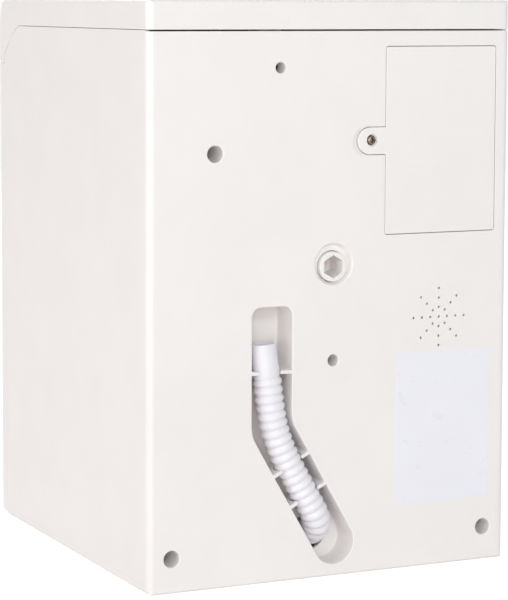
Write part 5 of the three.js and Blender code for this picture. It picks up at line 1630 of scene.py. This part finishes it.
drawer = overlap(
    stack("drawer", drawer_outline(0), span(FRONT - 6, FRONT + 17)),
    fascia_slab("slab", -2.4, 0))
tray = block("tray", (left, -89, tray_low), (right, DRAWER_BACK_Y, tray_high))
bays = [
    block("bay", (a, -86, tray_low + TRAY_WALL), (b, DRAWER_BACK_Y - TRAY_WALL, tray_high + 1))
    for a, b in ((left + TRAY_WALL, DIVIDER_X), (DIVIDER_X + TRAY_WALL, right - TRAY_WALL))]
tray = cut(
    tray, *bays, fascia_slab("front limit", -0.5, 30),
    rod("drain", -40, -62, 3.5, tray_low - 1, tray_low + 3, 40, from_above))
grip = block("grip", (-63, -96.6, DRAWER["z1"] - 6.6), (-47, -90, DRAWER["z1"] - 4.4))
drawer = join(drawer, tray, grip)
settle(soften(drawer, 0.25), "drawer", "case_white", "detergent_drawer").name = "drawer_tray"

# %% [markdown]
# ## Battery compartment
# Three cells lie across the compartment, each turned the other way from its neighbour. A cell is a
# jacket with a crimped rim and two bright steel ends. The contacts are strips with conical springs
# wound from wire, which press on the flat ends.

# %% Compartment
COMPARTMENT_FLOOR_Y = 66.2
COMPARTMENT_WALL = 1.7
CELL_Y = 82.0
CELL_R = 13.1
CELL_LENGTH = 48.5
CELL_PITCH = 26.8
CELL_Z = [(COVER["z0"] + COVER["z1"]) / 2 + step * CELL_PITCH for step in (-1, 0, 1)]
CELL_PLAY = 0.42
STRIP_SLOT = 1.2
STRIP_THICK = 0.5
BERTH = {"x0": COVER["x0"] + 0.6, "x1": COVER["x1"] - 0.6, "r": CELL_R + CELL_PLAY}
berths = []
for z in CELL_Z:
    berths.append(rod("berth", CELL_Y, z, BERTH["r"], BERTH["x0"], BERTH["x1"], 64, from_side))
    berths.append(block("berth mouth", (BERTH["x0"], CELL_Y, z - BERTH["r"]),
                        (BERTH["x1"], BACK, z + BERTH["r"])))
for x in (BERTH["x0"], BERTH["x1"] - STRIP_SLOT):
    berths.append(block("strip slot", (x, CELL_Y - 5.5, CELL_Z[0] - 7),
                        (x + STRIP_SLOT, BACK, CELL_Z[2] + 7)))
beside = BERTH["r"] + COMPARTMENT_WALL
compartment = block(
    "cell_compartment", (COVER["x0"] - 2.2, COMPARTMENT_FLOOR_Y, CELL_Z[0] - beside),
    (COVER["x1"] + 2.2, LEDGE_Y - LEDGE_THICK - GAP, CELL_Z[2] + beside))
compartment = cut(compartment, *berths)
settle(soften(compartment, 0.2), "housing", "grey_plastic", "battery_box")

# %% Cells
CELL_MIDDLE_X = (BERTH["x0"] + BERTH["x1"]) / 2


def make_cell(node, z, way):
    """One cell along x, with its cap on the side that way points to."""
    half, r = CELL_LENGTH / 2, CELL_R
    jacket = [
        (0, -half + 0.6), (r - 1.3, -half + 0.6), (r - 1.3, -half + 0.1), (r - 0.9, -half),
        (r - 0.4, -half + 0.1), (r, -half + 0.6), (r, half - 0.8), (r - 0.5, half - 0.15),
        (r - 1.2, half), (r - 1.7, half - 0.2), (r - 1.7, half - 0.7), (0, half - 0.7)]
    flat_end = [(0, -half + 0.7), (r - 1.4, -half + 0.7), (r - 1.4, -half + 0.2),
                (r - 3, -half + 0.1), (r - 3.4, -half + 0.35), (0, -half + 0.35)]
    cap_end = [(0, half - 0.8), (r - 1.8, half - 0.8), (r - 1.8, half - 0.35), (4.6, half - 0.3),
               (3.6, half + 0.1), (3.4, half + 1.2), (3.1, half + 1.5), (0, half + 1.5)]
    shapes = [("jacket", jacket, "cell_jacket"), ("flat_end", flat_end, "steel"),
              ("cap_end", cap_end, "steel")]
    for part, profile, slot in shapes:
        piece = turned(f"{node}_{part}", [(a, way * b) for a, b in profile],
                       (CELL_MIDDLE_X, CELL_Y, z), 96, "X")
        settle(piece, "housing", slot, node)


for i, z in enumerate(CELL_Z):
    make_cell(f"battery_cell_{i + 1}", z, -1 if i % 2 else 1)

# %% Contact strips and their springs
WIRE_R = 0.28
SPRING_TURNS = 2.5
SPRING_LENGTH = 1.6
SPRING_R = 4.6
SPRING_TAPER = 2.1
STEPS_PER_TURN = 28


def spring(x, z, inward):
    """A conical spring that stands on a strip and points inward."""
    rings = []
    steps = int(SPRING_TURNS * STEPS_PER_TURN)
    for i in range(steps + 1):
        share = i / steps
        angle = 2 * math.pi * SPRING_TURNS * share
        reach = SPRING_R - SPRING_TAPER * share
        out = Vector((0, math.cos(angle), math.sin(angle)))
        centre = Vector((x + inward * SPRING_LENGTH * share, CELL_Y, z)) + out * reach
        rings.append(hoop(centre, WIRE_R, out, Vector((inward, 0, 0)), 8))
    return skin("spring", rings)


def make_strip(node, x, inward, spring_z):
    """A contact strip with its springs."""
    strip = block(node + "_sprung", (x, CELL_Y - 5, CELL_Z[0] - 6),
                  (x + STRIP_THICK, CELL_Y + 8, CELL_Z[2] + 6))
    face = x + STRIP_THICK if inward > 0 else x
    soften(strip, 0.12)
    whole = join(strip, *[spring(face + 0.1 * inward, z, inward) for z in spring_z])
    settle(whole, "housing", "steel", node)


make_strip("contact_strip_left", BERTH["x0"] + 0.2, 1, CELL_Z[::2])
make_strip("contact_strip_right", BERTH["x1"] - 0.2 - STRIP_THICK, -1, CELL_Z[1:2])

# %% [markdown]
# ## Loudspeaker and blank label
# Behind the star of holes is a small loudspeaker with a shallow cone. Low on the back is a plain
# white label, a thin sheet with round corners.

# %% Loudspeaker and label
SPEAKER_FACE = BACK - WALL - GAP
speaker = turned("loudspeaker", [
    (0, SPEAKER_FACE - 1.6), *arc((0, SPEAKER_FACE - 6.6), 5, 82, 40, 8)[1:],
    *curve_through((5, SPEAKER_FACE - 4.2), (9, SPEAKER_FACE - 1.4), (14, SPEAKER_FACE - 0.7)),
    *arc((15, SPEAKER_FACE - 0.7), 0.7, 150, 30, 6), (16.4, SPEAKER_FACE - 0.2),
    (SPEAKER["r"], SPEAKER_FACE), (SPEAKER["r"], SPEAKER_FACE - 1.6), (15, SPEAKER_FACE - 2.4),
    (9, SPEAKER_FACE - 9), (9, SPEAKER_FACE - 14), (0, SPEAKER_FACE - 14)],
    (SPEAKER["x"], 0, SPEAKER["z"]), 96)
settle(speaker, "housing", "dark_plastic", "speaker")

LABEL = {"x0": -81.2, "x1": -32.5, "z0": 30.0, "z1": 100.0, "r": 1.5}
label = stack(
    "blank_label", rounded(LABEL["x0"], LABEL["x1"], LABEL["z0"], LABEL["z1"], LABEL["r"]),
    [(0, BACK - 0.05), (0, BACK + 0.06), (0.03, BACK + 0.08)])
settle(label, "housing", "case_white", finish=LABEL_WHITE)
